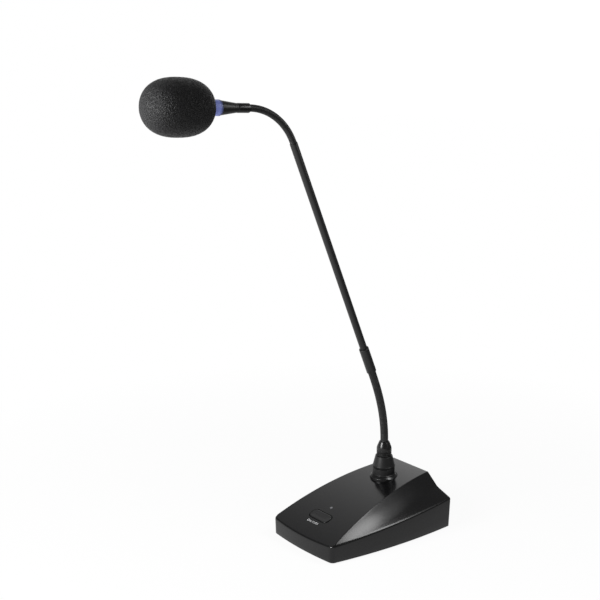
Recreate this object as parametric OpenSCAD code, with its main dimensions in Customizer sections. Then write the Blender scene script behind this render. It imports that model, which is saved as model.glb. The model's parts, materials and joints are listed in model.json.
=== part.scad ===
// Desk gooseneck microphone: a wedge base with a talk button, and a plug-in neck with two flexible
// stretches, a lit ring and a foam windscreen. Millimetres, +Z up, front towards -Y, right towards +X.
// The origin lies under the middle of the base, on the face that rests on the desk.

/* [Base cover] */
// Length from the front corners to the rear wall
base_len = 126.4; // [120:0.2:134]
// Width across the front corners
front_w = 75.8; // [72:0.2:80]
// Width across the rear corners
rear_w = 98.6; // [95:0.2:103]
// How far the front edge bows out
front_bow = 2.6; // [1.6:0.1:4]
// How far each side bows out
side_bow = 4.1; // [3:0.1:5.5]
// Height of the skirt at the front corners
front_h = 14; // [13:0.1:16]
// Height of the skirt at the rear corners
skirt_h = 26.4; // [25:0.1:28]
// Height of the spine at the rear wall
rear_h = 41.8; // [40:0.1:44]
// Width of the spine at the rear wall
spine_w = 42.2; // [40:0.2:46]
// Width across the two creases at the rear wall
crease_w = 66.2; // [63:0.2:69]
// Height of the two creases at the rear wall
crease_h = 32; // [31.4:0.1:32.8]
// Radius of the upright front corners
corner_r = 5; // [4.2:0.2:7]
// Radius of the upright rear corners
rear_corner_r = 1.6; // [1.4:0.1:3]
// How much further in the foot of the walls lies than their rear top
draft = 0.85; // [0.4:0.05:1.2]
// Wall of the cover
wall = 2.4; // [2:0.1:2.8]

/* [Base underside] */
// Thickness of the rubber pad
pad_t = 2; // [1.6:0.1:2.6]
// Height of the skirt's lower edge above the desk
skirt_lift = 1.2; // [0.8:0.1:1.5]
// Thickness of the steel bottom plate
plate_t = 2; // [1.5:0.1:3]
// Room between the bottom plate and the skirt
plate_gap = 0.3; // [0.2:0.05:0.6]
// How far the pad's edge lies inside the plate's edge
pad_inset = 2; // [1.5:0.1:2.6]
// How far the plate screws lie inside the corners
plate_screw_in = 11; // [10:0.5:13]
// Shank diameter of the plate screws
plate_screw_d = 2.8; // [2.4:0.1:3.2]
// Width of the ballast
ballast_w = 64; // [56:1:68]
// Length of the ballast
ballast_l = 42; // [36:1:44]
// Height of the ballast
ballast_h = 10; // [8:0.5:11]
// How far the ballast's centre lies in front of the base's centre
ballast_fwd = 6; // [4:0.5:7]
// Spacing of the two ballast screws
ballast_screw_gap = 40; // [32:1:46]
// Shank diameter of the ballast screws
ballast_screw_d = 4; // [3:0.5:4.5]

/* [Talk button and board] */
// Distance of the button's centre behind the front corners
btn_back = 20.7; // [19.5:0.1:22]
// Width of the button
btn_w = 22; // [20:0.5:24]
// Length of the button along the slope
btn_l = 9.2; // [8.4:0.2:10]
// Corner radius of the button
btn_r = 3.4; // [2.4:0.2:4]
// Gap round the button
btn_gap = 0.4; // [0.3:0.05:0.6]
// How far the button stands above the cover
btn_proud = 0.4; // [0.2:0.1:0.8]
// Width of the lip that keeps the button in
btn_lip = 1.2; // [0.8:0.1:1.5]
// Travel of the button
btn_travel = 1; // [0.6:0.1:1.2]
// Distance of the indicator behind the button's centre along the slope
led_back = 12.1; // [11:0.1:13]
// Diameter of the indicator window
led_d = 2; // [1.6:0.1:2.4]
// Width of the circuit board
board_w = 46; // [44:1:50]
// Length of the circuit board
board_l = 34; // [32:1:36]
// Thickness of the circuit board
board_t = 1.6; // [1:0.1:2]
// Depth of the board's top face under the button's top
board_depth = 9.4; // [9:0.1:10]
// How far the board's centre lies behind the button's centre
board_back = 6; // [5:0.5:7]
// Shank diameter of the board screws
board_screw_d = 2; // [1.6:0.1:2.4]

/* [Neck socket and plug] */
// Distance of the plug's axis in front of the rear wall
plug_fwd = 33.6; // [32:0.2:36]
// Diameter of the plug
plug_d = 19; // [18.4:0.1:19.6]
// Running clearance of the plug in its socket, radial
plug_clear = 0.1; // [0.06:0.02:0.2]
// Wall of the plug's sleeve
plug_wall = 1.5; // [1.3:0.1:1.8]
// How deep the plug goes into the socket
plug_depth = 14.4; // [13.5:0.1:15]
// Outer diameter of the socket's ring where it meets the cover
ring_d = 24; // [23.4:0.1:25]
// Height of the socket's ring above the cover at the plug's axis
ring_rise = 2.2; // [1.8:0.1:3]
// Depth of the socket's screw flange under the top of its ring
seat_depth = 9.8; // [9:0.1:10.5]
// Diameter of the socket's screw flange
seat_d = 34; // [33.5:0.5:36]
// Thickness of the socket's screw flange
seat_t = 2; // [1.6:0.1:2.4]
// Height of the plug's sleeve above the socket
sleeve_h = 6; // [5:0.1:7]
// Height of the plug's band above its groove
band_h = 2.2; // [1.8:0.1:3]
// Height of the plug's taper
taper_h = 8.8; // [8:0.1:10]
// Diameter of the plug at the top of its taper
taper_d = 14.8; // [14:0.1:15.5]
// Height of the ringed collar
collar_h = 4.6; // [4:0.1:5.5]
// Diameter of the ringed collar
collar_d = 13; // [12.4:0.1:13.8]
// Height of the domed nut
dome_h = 8.2; // [7.5:0.1:9]
// Diameter of the contact pins
pin_d = 2.4; // [2:0.1:2.6]
// Spacing of the upper two pins
pin_gap = 7; // [6.6:0.1:7.2]
// How far the third pin lies below the upper two
pin_drop = 3.5; // [3.4:0.1:3.8]
// Free length of the pins
pin_len = 12.4; // [11.5:0.1:12.8]

/* [Rear outlet] */
// Height of the outlet's axis above the desk
outlet_z = 20.4; // [19.8:0.1:21]
// Width of the outlet's flange
outlet_w = 26; // [25.6:0.2:28]
// Height of the outlet's flange
outlet_h = 31; // [30.4:0.2:32]
// Thickness of the outlet's flange
outlet_t = 1.8; // [1.4:0.1:2.4]
// Bore of the outlet
outlet_bore = 16.2; // [16:0.1:16.6]
// Depth of the outlet from its flange to its pin carrier
outlet_depth = 15; // [14.2:0.1:16]
// Wall of the outlet's barrel
outlet_wall = 2.8; // [2.2:0.1:3]

/* [Neck] */
// Length of the lower flexible stretch
low_len = 68.9; // [60:0.1:76]
// Diameter of the lower flexible stretch
low_d = 6.8; // [6.4:0.1:7.2]
// Lean of the stem tube from upright, in degrees
neck_lean = 23.3; // [18:0.1:28]
// Length of the joint sleeve
sleeve_len = 23.8; // [22:0.1:28]
// Diameter of the joint sleeve
sleeve_d = 8.2; // [7.6:0.1:8.8]
// Length of the stem tube above the sleeve
stem_len = 189.9; // [170:0.1:210]
// Diameter of the stem tube
stem_d = 6.1; // [5.9:0.1:6.3]
// Length of the upper flexible stretch
up_len = 52.6; // [50:0.1:60]
// Diameter of the upper flexible stretch
up_d = 5.4; // [5.2:0.1:5.5]
// Lean of the head from upright, in degrees
head_lean = 87.5; // [75:0.1:95]
// Bore of the flexible stretches
lead_bore = 2.6; // [2.2:0.1:2.8]
// Running clearance between two links
link_clear = 0.08; // [0.05:0.01:0.1]

/* [Head] */
// Diameter of the head's collar
hcol_d = 7.2; // [7.1:0.1:8]
// Length of the head's collar
hcol_len = 11; // [9:0.1:12]
// Length of the tapered housing
hcone_len = 15.6; // [13:0.1:17]
// Diameter of the housing where it meets the light ring
hcone_d = 11; // [10.6:0.1:11.2]
// Diameter of the light ring
light_d = 11.7; // [11.4:0.1:12]
// Length of the light ring
light_len = 9.2; // [8:0.1:11]
// Wall of the light ring
light_wall = 0.9; // [0.7:0.1:1]
// Length of the capsule tube in front of the light ring
cap_len = 28; // [24:0.5:32]
// Diameter of the capsule tube
cap_d = 11; // [10.8:0.1:11.2]
// Wall of the capsule tube
cap_wall = 0.6; // [0.5:0.05:0.7]
// Length of the foam windscreen
foam_len = 53.9; // [50:0.1:60]
// Diameter of the foam windscreen
foam_d = 41.4; // [38:0.2:46]

/* [Hidden] */
$fn = 96;
// Fits: a slip fit between pieces that stay put, and a gap between pieces that only pass each other
slip = 0.05;
pass = 0.3;
// Overshoot of cutting shapes
over = 1;

// Plan of the base
y_front = -base_len / 2;
y_rear = base_len / 2;
half_front = front_w / 2;
half_rear = rear_w / 2;
side_chord = norm([half_rear - half_front, base_len]);
side_r = arc_radius(side_chord, side_bow);
side_out = [base_len, half_front - half_rear] / side_chord;
side_c = [(half_front + half_rear) / 2, 0] + side_out * (side_bow - side_r);
front_r = arc_radius(front_w, front_bow);
front_c = [0, y_front - front_bow + front_r];
rear_tilt = atan(draft / skirt_h);

// Crown: an arc along the base that lies level at the rear wall
crown_drop = rear_h - front_h;
crown_r = (base_len * base_len + crown_drop * crown_drop) / (2 * crown_drop);
crown_c = skirt_lift + rear_h - crown_r;

// Cove beside the spine, as fractions of the line from the spine's edge to the skirt
cove_steps = 14;
cove_crisp = 0.08;
cove_in = [0.6, 0.9];
rear_line = skirt_pt(1) - spine_pt(1);
crease_off = [crease_w / 2, skirt_lift + crease_h] - spine_pt(1);
crease_u = (crease_off * rear_line) / (rear_line * rear_line);
crease_v = (rear_line.x * crease_off.y - rear_line.y * crease_off.x) / (rear_line * rear_line);

// Underside
plate_top = pad_t + plate_t;
plate_in = wall + plate_gap;
plate_r = 2;
boss_r = plate_screw_d / 2 + 2.1;
head_h = 1.5;
plate_screw_len = 9;
ballast_y = -ballast_fwd;
csk_h = plate_t - 0.2;
plate_screws_at = [for (s = [-1, 1]) each [
    [s * (half_front - plate_screw_in), y_front + plate_screw_in],
    [s * (half_rear - plate_screw_in), y_rear - plate_screw_in]]];

// Button and board, in a frame on the crown at the button's centre
btn_y = y_front + btn_back;
btn_tilt = crown_tilt(btn_y);
lip_top = -(wall + pass);
lip_t = 1;
plunger_d = 3.4;
switch_size = [6, 6, 3.4];
switch_top = switch_size.z - board_depth;
plunger_top = switch_top + btn_travel + pass;
plunger_in = 1;
btn_stem_d = 5;
led_size = [3.2, 2.8, 1.9];
pipe_d = led_d + 1.4;
board_edge = 3.5;
board_boss_r = board_screw_d / 2 + 1.7;
board_screw_len = board_t + 5;
board_screws_at = [for (sx = [-1, 1], sy = [-1, 1])
    [sx * (board_w / 2 - board_edge), board_back + sy * (board_l / 2 - board_edge)]];

// Socket and plug levels
plug_y = y_rear - plug_fwd;
ring_top = crown_z(plug_y) + ring_rise;
seat_z = ring_top - seat_depth;
plug_foot = ring_top - plug_depth;
socket_floor = plug_foot - pass;
socket_foot = socket_floor - 2.4;
socket_bore = plug_d + 2 * plug_clear;
barrel_d = socket_bore + 3.2;
nose_d = plug_d - 2 * plug_wall - 2 * plug_clear;
nose_top = ring_top - 0.8;
carrier_z = nose_top + pass;
carrier_t = 3.6;
ring_chamfer = 1.6;
contact_d = pin_d + 1.2;
contact_foot = socket_foot - 5.4;
contact_top = nose_top - 0.6;
seat_size = [seat_d, ring_d + 2];
seat_screw_r = (seat_d + ring_d) / 4 + 0.2;
seat_screw_d = 2;
seat_screw_len = seat_t + 4.4;
floor_d = nose_d - 2.4;
lip_h = 1.1;
lip_out = 0.6;
groove_h = 0.5;
groove_in = 0.4;
housing_z = ring_top + sleeve_h;
housing_wall = 1.2;
collar_z = housing_z + band_h + taper_h;
dome_z = collar_z + collar_h;
neck_z = dome_z + dome_h;
pin_off = 1;
pins_at = [[-pin_gap / 2, pin_off], [pin_gap / 2, pin_off], [0, pin_off - pin_drop]];
collet_h = dome_h - 2.8;
collet_d = [collar_d - 2.6, low_d + 1.2];
collet_slot = 0.8;
root_in = dome_h + collar_h;

// Rear outlet
outlet_d = outlet_bore + 2 * outlet_wall;
outlet_carrier_t = 5;
outlet_face = outlet_t - outlet_depth;
outlet_foot = outlet_face - outlet_carrier_t;
outlet_tail = outlet_foot - 4;
outlet_screw_d = 2.5;
outlet_screw_len = outlet_t + wall + 4;
outlet_boss_d = outlet_screw_d + 3.4;
outlet_screws_at = [for (s = [-1, 1]) [s * (outlet_w - 7), s * (outlet_h - 7)] / 2];

// Neck. A stretch is [start, lean at the start, lean at the end, length, joints, ease, diameter]
joints_each = 8;
low_ease = 1.5;
up_ease = 1.05;
LOW = [[0, plug_y, neck_z], 0, neck_lean, low_len, joints_each, low_ease, low_d];
stem_foot = st_end(LOW);
stem_dir = along(neck_lean);
tube_in = sleeve_len / 2;
stem_wall = 0.6;
stem_top = stem_foot + stem_dir * (sleeve_len + stem_len);
UP = [stem_top, neck_lean, head_lean, up_len, joints_each, up_ease, up_d];
up_in = 12;
head_foot = st_end(UP);
knuckle_share = 1.15;

// Head levels, measured along the head from the end of the upper stretch
hstub = 7;
light_s = hcol_len + hcone_len;
tube_s = light_s + light_len;
cap_end = tube_s + cap_len;
cone_small = hcol_d - 0.4;
cone_wall = 0.8;
spigot_d = light_d - 2 * light_wall - 2 * slip;
spigot_back = 3;
spigot_len = light_len - spigot_back;
spigot_wall = 0.8;
ring_board_t = 0.8;
ring_board_d = hcone_d - 2 * cone_wall - 0.5;
ring_leds = 4;
ring_led = [1.6, 1.6, 0.7];
capsule_d = cap_d - 2 * cap_wall - 2 * slip;
capsule_h = 5;
gasket_t = 1;
gasket_wall = 0.9;
grille_t = 1.6;
grille_lip = 2.4;
grille_holes = 6;
grille_hole_d = 1.8;
gasket_s = cap_end - grille_lip - 2 * slip - gasket_t;
capsule_s = gasket_s - capsule_h;
slots = 6;
slot_size = [2, 9];
foam_over = 1.5;
foam_s = tube_s - foam_over;
foam_bore = light_d + 2 * pass;
foam_bore_end = cap_end + grille_t + pass;
foam_blunt = 0.81;

// Wires
wire_d = 1.4;
wire_gap = 3;
wire_in = 2;
wire_rise = 2.4;
wire_out = 3;
wire_fall = 10;
wire_lead = 6;
wire_turn = 9;
wire_tip = 2;
wire_level = plate_top + ballast_h + wire_rise;
output_side = 12;

lower_links = [for (i = [1:joints_each - 1]) str("lower_link_", i)];
upper_links = [for (i = [1:joints_each - 1]) str("upper_link_", i)];

// Geometry helpers
function arc_radius(chord, bow) = chord * chord / (8 * bow) + bow / 2;
function along(lean) = [0, -sin(lean), cos(lean)];
function lerp(a, b, t) = a + (b - a) * t;
function unit(v) = v / norm(v);
function circle_meet(a, ra, b, rb) =
    let (d = norm(b - a), u = (b - a) / d, k = (d * d + ra * ra - rb * rb) / (2 * d))
    a + u * k + [-u.y, u.x] * sqrt(ra * ra - k * k);
function side_x(y, inset = 0) = side_c.x + sqrt(pow(side_r - inset, 2) - pow(y - side_c.y, 2));
function crown_z(y) = crown_c + sqrt(crown_r * crown_r - pow(y_rear - y, 2));
function crown_tilt(y) = asin((y_rear - y) / crown_r);
function front_corner(inset) = circle_meet(front_c, front_r - inset, side_c, side_r - inset);
function rear_corner(inset) = [side_x(y_rear - inset, inset), y_rear - inset];
function y_at(t) = lerp(y_front, y_rear, t);
function wall_lean(z) = draft * ((z - skirt_lift) / skirt_h - 1);
function on_board(x, y, up) = [x, btn_y + y * cos(btn_tilt) - (up - board_depth) * sin(btn_tilt),
    crown_z(btn_y) + y * sin(btn_tilt) + (up - board_depth) * cos(btn_tilt)];
function on_outlet(p, out) = [p.x, y_rear + wall_lean(outlet_z) + out * cos(rear_tilt) + p.y * sin(rear_tilt),
    outlet_z + p.y * cos(rear_tilt) - out * sin(rear_tilt)];

// Cove section at a share t of the base's length, as [x, z] points
function spine_pt(t) = [lerp(front_w, spine_w, t) / 2, crown_z(y_at(t))];
function skirt_pt(t) = [side_x(y_at(t)), skirt_lift + lerp(front_h, skirt_h, t)];
function crease_pt(t) =
    let (s = spine_pt(t), line = skirt_pt(t) - s)
    s + line * crease_u + [-line.y, line.x] * crease_v;
function blunt(v) = sign(v) * pow(abs(v), foam_blunt);
function bezier(a, b, c, u) = a * (1 - u) * (1 - u) + b * 2 * u * (1 - u) + c * u * u;
function cove_section(t) =
    let (s = spine_pt(t), e = crease_pt(t), k = skirt_pt(t), f = lerp(1, cove_crisp, t),
         a = lerp(e, s, f), b = lerp(e, k, f), reach = 6, top = rear_h + 20,
         first = s + unit(s - e) * reach, last = k + unit(k - e) * reach)
    concat([first], [for (u = [0:0.25:1]) bezier(a, e, b, u)], [last, [last.x, top], [first.x, top]]);

// Neck stretches: lean above joint i, place of joint i from 1, and the stretch's end
function st_pitch(st) = st[3] / st[4];
function st_lean(st, i) = lerp(st[1], st[2], 1 - pow(1 - i / st[4], st[5]));
function st_joint(st, i) = i == 1
    ? st[0] + along(st[1]) * st_pitch(st) / 2
    : st_joint(st, i - 1) + along(st_lean(st, i - 1)) * st_pitch(st);
function st_end(st) = st_joint(st, st[4]) + along(st[2]) * st_pitch(st) / 2;

// Frames
module at_button() translate([0, btn_y, crown_z(btn_y)]) rotate([btn_tilt, 0, 0]) children();
module at_plug() translate([0, plug_y, 0]) children();
module at_outlet() translate(on_outlet([0, 0], 0)) rotate([-90 - rear_tilt, 0, 0])
    mirror([0, 1, 0]) children();
module leaning(point, lean) translate(point) rotate([lean, 0, 0]) children();
module at_head() leaning(head_foot, head_lean) children();
module at_stem() leaning(stem_foot, neck_lean) children();
module at_joint(st, i) leaning(st_joint(st, i), (st_lean(st, i - 1) + st_lean(st, i)) / 2)
    rotate([0, 0, i % 2 == 1 ? 0 : 90]) children();

// Shared shapes
module rounded_rect(size, r) {
    square([size.x - 2 * r, size.y], center = true);
    square([size.x, size.y - 2 * r], center = true);
    for (sx = [-1, 1], sy = [-1, 1])
        translate([sx * (size.x / 2 - r), sy * (size.y / 2 - r)]) circle(r);
}
module ring(outer, inner, z0, z1) translate([0, 0, z0]) difference() {
    cylinder(d = outer, h = z1 - z0);
    translate([0, 0, -over]) cylinder(d = inner, h = z1 - z0 + 2 * over);
}
module rod(d, z0, z1) translate([0, 0, z0]) cylinder(d = d, h = z1 - z0);
module pan_screw(d, len) difference() {
    union() {
        rod(2 * d, -head_h, 0);
        rod(d, -slip, len);
    }
    for (turn = [0, 90]) rotate([0, 0, turn])
        translate([-0.6 * d, -0.2 * d, -head_h - over]) cube([1.2 * d, 0.4 * d, over + head_h / 2]);
}
module wire(points) for (i = [1:len(points) - 1]) {
    step = points[i] - points[i - 1];
    translate(points[i - 1]) rotate([0, acos(step.z / norm(step)), atan2(step.y, step.x)])
        cylinder(d = wire_d, h = norm(step), $fn = 24);
    if (i < len(points) - 1) translate(points[i]) sphere(d = wire_d * 1.06, $fn = 24);
}

// Base form: plan walls with draft and round corners, under the crown, with a cove down each side
module corner_cut(c, n1, n2, z0, z1, r0, r1) difference() {
    slope = (r1 - r0) / (z1 - z0);
    reach = 4 * corner_r;
    translate([0, 0, z0 - over]) linear_extrude(z1 - z0 + 2 * over)
        polygon([c, c + n1 * reach, c + (n1 + n2) * reach, c + n2 * reach]);
    translate([c.x, c.y, z0 - 2 * over])
        cylinder(r1 = r0 - 2 * over * slope, r2 = r1 + 2 * over * slope, h = z1 - z0 + 4 * over);
}
module plan_block(z0, z1, g0, g1, depth = corner_r, rear_depth = rear_corner_r) difference() {
    fc = front_corner(depth);
    rc = rear_corner(rear_depth);
    intersection() {
        translate([side_c.x, side_c.y, z0])
            cylinder(r1 = side_r + g0, r2 = side_r + g1, h = z1 - z0, $fn = 720);
        translate([-side_c.x, side_c.y, z0])
            cylinder(r1 = side_r + g0, r2 = side_r + g1, h = z1 - z0, $fn = 720);
        translate([front_c.x, front_c.y, z0])
            cylinder(r1 = front_r + g0, r2 = front_r + g1, h = z1 - z0, $fn = 720);
        rotate([90, 0, 90]) linear_extrude(2 * rear_w, center = true)
            polygon([[-base_len, z0], [y_rear + g0, z0], [y_rear + g1, z1], [-base_len, z1]]);
    }
    for (m = [0, 1]) mirror([m, 0, 0]) {
        corner_cut(fc, unit(fc - front_c), unit(fc - side_c), z0, z1, depth + g0, depth + g1);
        if (rear_depth + g0 > slip)
            corner_cut(rc, unit(rc - side_c), [0, 1], z0, z1, rear_depth + g0, rear_depth + g1);
    }
}
module crown(inset) translate([0, y_rear, crown_c]) rotate([0, 90, 0])
    cylinder(r = crown_r - inset, h = 2 * rear_w, center = true, $fn = 720);
module cove() {
    sections = [for (i = [0:cove_steps]) let (t = lerp(-0.03, 1.03, i / cove_steps))
        [for (p = cove_section(min(max(t, 0.02), 1))) [p.x, y_at(t), p.y]]];
    m = len(sections[0]);
    polyhedron([for (s = sections) each s], concat(
        [[for (j = [m - 1:-1:0]) j]],
        [[for (j = [0:m - 1]) cove_steps * m + j]],
        [for (i = [0:cove_steps - 1], j = [0:m - 1]) each [
            [i * m + j, (i + 1) * m + (j + 1) % m, (i + 1) * m + j],
            [i * m + j, i * m + (j + 1) % m, (i + 1) * m + (j + 1) % m]]]));
}
module base_form(inset, z0) difference() {
    z1 = skirt_lift + rear_h + over;
    intersection() {
        plan_block(z0, z1, wall_lean(z0) - inset, wall_lean(z1) - inset);
        crown(inset);
    }
    for (m = [0, 1]) mirror([m, 0, 0]) translate([-cove_in.x, 0, -cove_in.y] * inset) cove();
}
module plate_form(inset, r, z0, z1) let (gap = -draft - inset)
    plan_block(z0, z1, gap, gap, r - gap, r - gap);

// Cover
module cover_bosses() {
    for (p = plate_screws_at) translate(p) translate([0, 0, plate_top]) cylinder(r = boss_r, h = rear_h);
    at_button() for (p = board_screws_at) translate(p) translate([0, 0, -board_depth])
        cylinder(r = board_boss_r, h = 2 * board_depth);
    at_plug() translate([0, 0, seat_z]) linear_extrude(seat_depth) rounded_rect(seat_size, corner_r);
    at_outlet() for (p = outlet_screws_at) translate(p)
        rod(outlet_boss_d, outlet_t - outlet_screw_len - wall, 0);
}
module cover_holes() {
    for (p = plate_screws_at) translate(p)
        rod(plate_screw_d + 2 * slip, plate_top - over, pad_t + plate_screw_len + pass);
    at_button() {
        translate([0, 0, lip_top - over]) linear_extrude(2 * board_depth)
            rounded_rect([btn_w, btn_l] + [2, 2] * btn_gap, btn_r + btn_gap);
        translate([0, led_back]) rod(led_d + 2 * slip, lip_top - over, board_depth);
        for (p = board_screws_at) translate(p) rod(board_screw_d + 2 * slip,
            -board_depth - over, board_screw_len - board_t - board_depth + pass);
    }
    at_plug() {
        rod(ring_d + 2 * slip, seat_z - over, ring_top + over);
        for (s = [-1, 1]) translate([s * seat_screw_r, 0])
            rod(seat_screw_d + 2 * slip, seat_z - over, seat_z + seat_screw_len - seat_t + pass);
    }
    at_outlet() {
        rod(outlet_d + 2 * slip, outlet_foot, over);
        for (p = outlet_screws_at) translate(p)
            rod(outlet_screw_d + 2 * slip, outlet_t - outlet_screw_len - pass, over);
    }
}
module base_cover() color("#1b1b1d") difference() {
    union() {
        difference() {
            base_form(0, skirt_lift);
            base_form(wall, skirt_lift - over);
        }
        intersection() {
            cover_bosses();
            base_form(wall / 2, skirt_lift);
        }
    }
    cover_holes();
}

// Underside
module bottom_plate() color("#2a2a2c") difference() {
    plate_form(plate_in, plate_r, pad_t, plate_top);
    for (p = plate_screws_at) translate(p) rod(plate_screw_d + 2 * pass, pad_t - over, plate_top + over);
    for (s = [-1, 1]) translate([s * ballast_screw_gap / 2, ballast_y]) {
        rod(ballast_screw_d + 2 * slip, pad_t - over, plate_top + over);
        translate([0, 0, pad_t - slip]) cylinder(d1 = 2 * ballast_screw_d + 2 * slip,
            d2 = ballast_screw_d + 2 * slip, h = csk_h + slip);
    }
}
module base_pad() color("#101010") difference() {
    plate_form(plate_in + pad_inset, plate_r, 0, pad_t);
    for (p = plate_screws_at) translate(p) rod(2 * plate_screw_d + 1.2, -over, pad_t + over);
}
module ballast() color("#55585a") difference() {
    translate([-ballast_w / 2, ballast_y - ballast_l / 2, plate_top]) cube([ballast_w, ballast_l, ballast_h]);
    for (s = [-1, 1]) translate([s * ballast_screw_gap / 2, ballast_y])
        rod(ballast_screw_d + 2 * slip, plate_top - over, plate_top + ballast_h - 2);
}
module plate_screws() color("#8c8c8c") for (p = plate_screws_at) translate(p) translate([0, 0, pad_t])
    pan_screw(plate_screw_d, plate_screw_len);
module ballast_screws() color("#8c8c8c") for (s = [-1, 1]) translate([s * ballast_screw_gap / 2, ballast_y]) {
    translate([0, 0, pad_t]) cylinder(d1 = 2 * ballast_screw_d, d2 = ballast_screw_d, h = csk_h);
    rod(ballast_screw_d, pad_t + csk_h / 2, plate_top + ballast_h - 3);
}

// Talk button, board and indicator
module circuit_board() color("#1d4d2b") at_button() difference() {
    translate([-board_w / 2, board_back - board_l / 2, -board_depth - board_t])
        cube([board_w, board_l, board_t]);
    for (p = board_screws_at) translate(p)
        rod(board_screw_d + 2 * pass, -board_depth - board_t - over, over - board_depth);
}
module board_screws() color("#8c8c8c") at_button() for (p = board_screws_at) translate(p)
    translate([0, 0, -board_depth - board_t]) pan_screw(board_screw_d, board_screw_len);
module tact_switch() color("#303034") at_button() difference() {
    translate([-switch_size.x / 2, -switch_size.y / 2, -board_depth]) cube(switch_size);
    rod(plunger_d + 2 * slip, switch_top - plunger_in - btn_travel - pass, switch_top + over);
}
module switch_plunger() color("#c9c4b8") at_button() rod(plunger_d, switch_top - plunger_in, plunger_top);
module talk_button() color("#222225") {
    intersection() {
        at_button() translate([0, 0, lip_top - lip_t / 2]) linear_extrude(board_depth)
            rounded_rect([btn_w, btn_l], btn_r);
        crown(-btn_proud);
    }
    at_button() {
        translate([0, 0, lip_top - lip_t]) linear_extrude(lip_t)
            rounded_rect([btn_w, btn_l] + [2, 2] * btn_lip, btn_r + btn_lip);
        rod(btn_stem_d, plunger_top, lip_top - lip_t / 2);
    }
}
module indicator_led() color("#d8e4ee") at_button()
    translate([-led_size.x / 2, led_back - led_size.y / 2, -board_depth]) cube(led_size);
module light_pipe() color("#e8eef2") {
    intersection() {
        at_button() translate([0, led_back]) rod(led_d, lip_top - 2 * pass - lip_t / 2, board_depth);
        crown(-btn_proud / 2);
    }
    at_button() translate([0, led_back]) rod(pipe_d, led_size.z - board_depth + pass, lip_top - 2 * pass);
}

// Neck socket in the cover
module socket_shell() color("#161617") at_plug() difference() {
    union() {
        rotate_extrude() polygon([
            [socket_bore / 2, ring_top], [ring_d / 2 - ring_chamfer, ring_top],
            [ring_d / 2, ring_top - ring_chamfer], [ring_d / 2, seat_z - seat_t / 2],
            [barrel_d / 2, seat_z - seat_t / 2], [barrel_d / 2, socket_foot],
            [floor_d / 2, socket_foot], [floor_d / 2, socket_floor], [socket_bore / 2, socket_floor]]);
        difference() {
            translate([0, 0, seat_z - seat_t]) linear_extrude(seat_t) rounded_rect(seat_size, corner_r);
            rod(socket_bore + 1, seat_z - seat_t - over, seat_z + over);
        }
    }
    for (s = [-1, 1]) translate([s * seat_screw_r, 0])
        rod(seat_screw_d + 2 * pass, seat_z - seat_t - over, seat_z + over);
}
module socket_insert() color("#26262a") at_plug() difference() {
    union() {
        rod(nose_d, socket_floor, nose_top);
        rod(floor_d - 2 * slip, socket_foot, socket_floor + slip);
    }
    for (p = pins_at) translate(p) rod(contact_d + 2 * slip, socket_foot - over, nose_top + over);
}
module socket_contacts() color("#c8a24a") at_plug() for (p = pins_at) translate(p) difference() {
    rod(contact_d, contact_foot, contact_top);
    rod(pin_d + 2 * plug_clear, carrier_z - pin_len - pass, contact_top + over);
}
module socket_screws() color("#8c8c8c") at_plug() for (s = [-1, 1])
    translate([s * seat_screw_r, 0, seat_z - seat_t]) pan_screw(seat_screw_d, seat_screw_len);

// Outlet in the rear wall
module outlet_shell() color("#19191a") at_outlet() difference() {
    union() {
        linear_extrude(outlet_t) rounded_rect([outlet_w, outlet_h], corner_r / 2);
        rod(outlet_d, outlet_foot, outlet_t / 2);
    }
    rod(outlet_bore, outlet_foot - over, outlet_t + over);
    for (p = outlet_screws_at) translate(p) rod(outlet_screw_d + 2 * pass, -over, outlet_t + over);
}
module outlet_insert() color("#26262a") at_outlet() difference() {
    rod(outlet_bore - 2 * slip, outlet_foot, outlet_face);
    for (p = pins_at) translate(p) rod(pin_d + 2 * slip, outlet_foot - over, outlet_face + over);
}
module outlet_pins() color("#c8c8c4") at_outlet() for (p = pins_at) translate(p) {
    rod(pin_d, outlet_tail, outlet_face + pin_len - pin_d / 2);
    translate([0, 0, outlet_face + pin_len - pin_d / 2]) cylinder(d1 = pin_d, d2 = pin_d / 2, h = pin_d / 2);
}
module outlet_screws() color("#8c8c8c") at_outlet() for (p = outlet_screws_at) translate(p)
    translate([0, 0, outlet_t]) mirror([0, 0, 1]) pan_screw(outlet_screw_d, outlet_screw_len);

// Wires inside the base: they leave the board upwards, pass over the ballast and end on the contacts
function board_run(x) = let (y = board_back + board_l / 2) [
    on_board(x, y - wire_in, 0), on_board(x, y - wire_in, wire_rise), on_board(x, y + wire_out, wire_rise),
    [x, on_board(x, y, 0).y + wire_fall, wire_level]];
module mic_wires() color("#b03030") for (i = [0:2]) let (p = pins_at[[0, 2, 1][i]])
    wire(concat(board_run((i - 1) * wire_gap), [
        [(i - 1) * wire_gap, plug_y + p.y - wire_lead, wire_level],
        [p.x, plug_y + p.y, contact_foot - wire_tip], [p.x, plug_y + p.y, contact_foot]]));
module output_wires() color("#3050b0") for (i = [0:2])
    let (p = pins_at[[0, 2, 1][i]], x = output_side + (i - 1) * wire_gap, tail = on_outlet(p, outlet_tail))
    wire(concat(board_run(x), [
        [x, tail.y - wire_turn, wire_level], on_outlet(p, outlet_tail - wire_tip), tail]));

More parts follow.
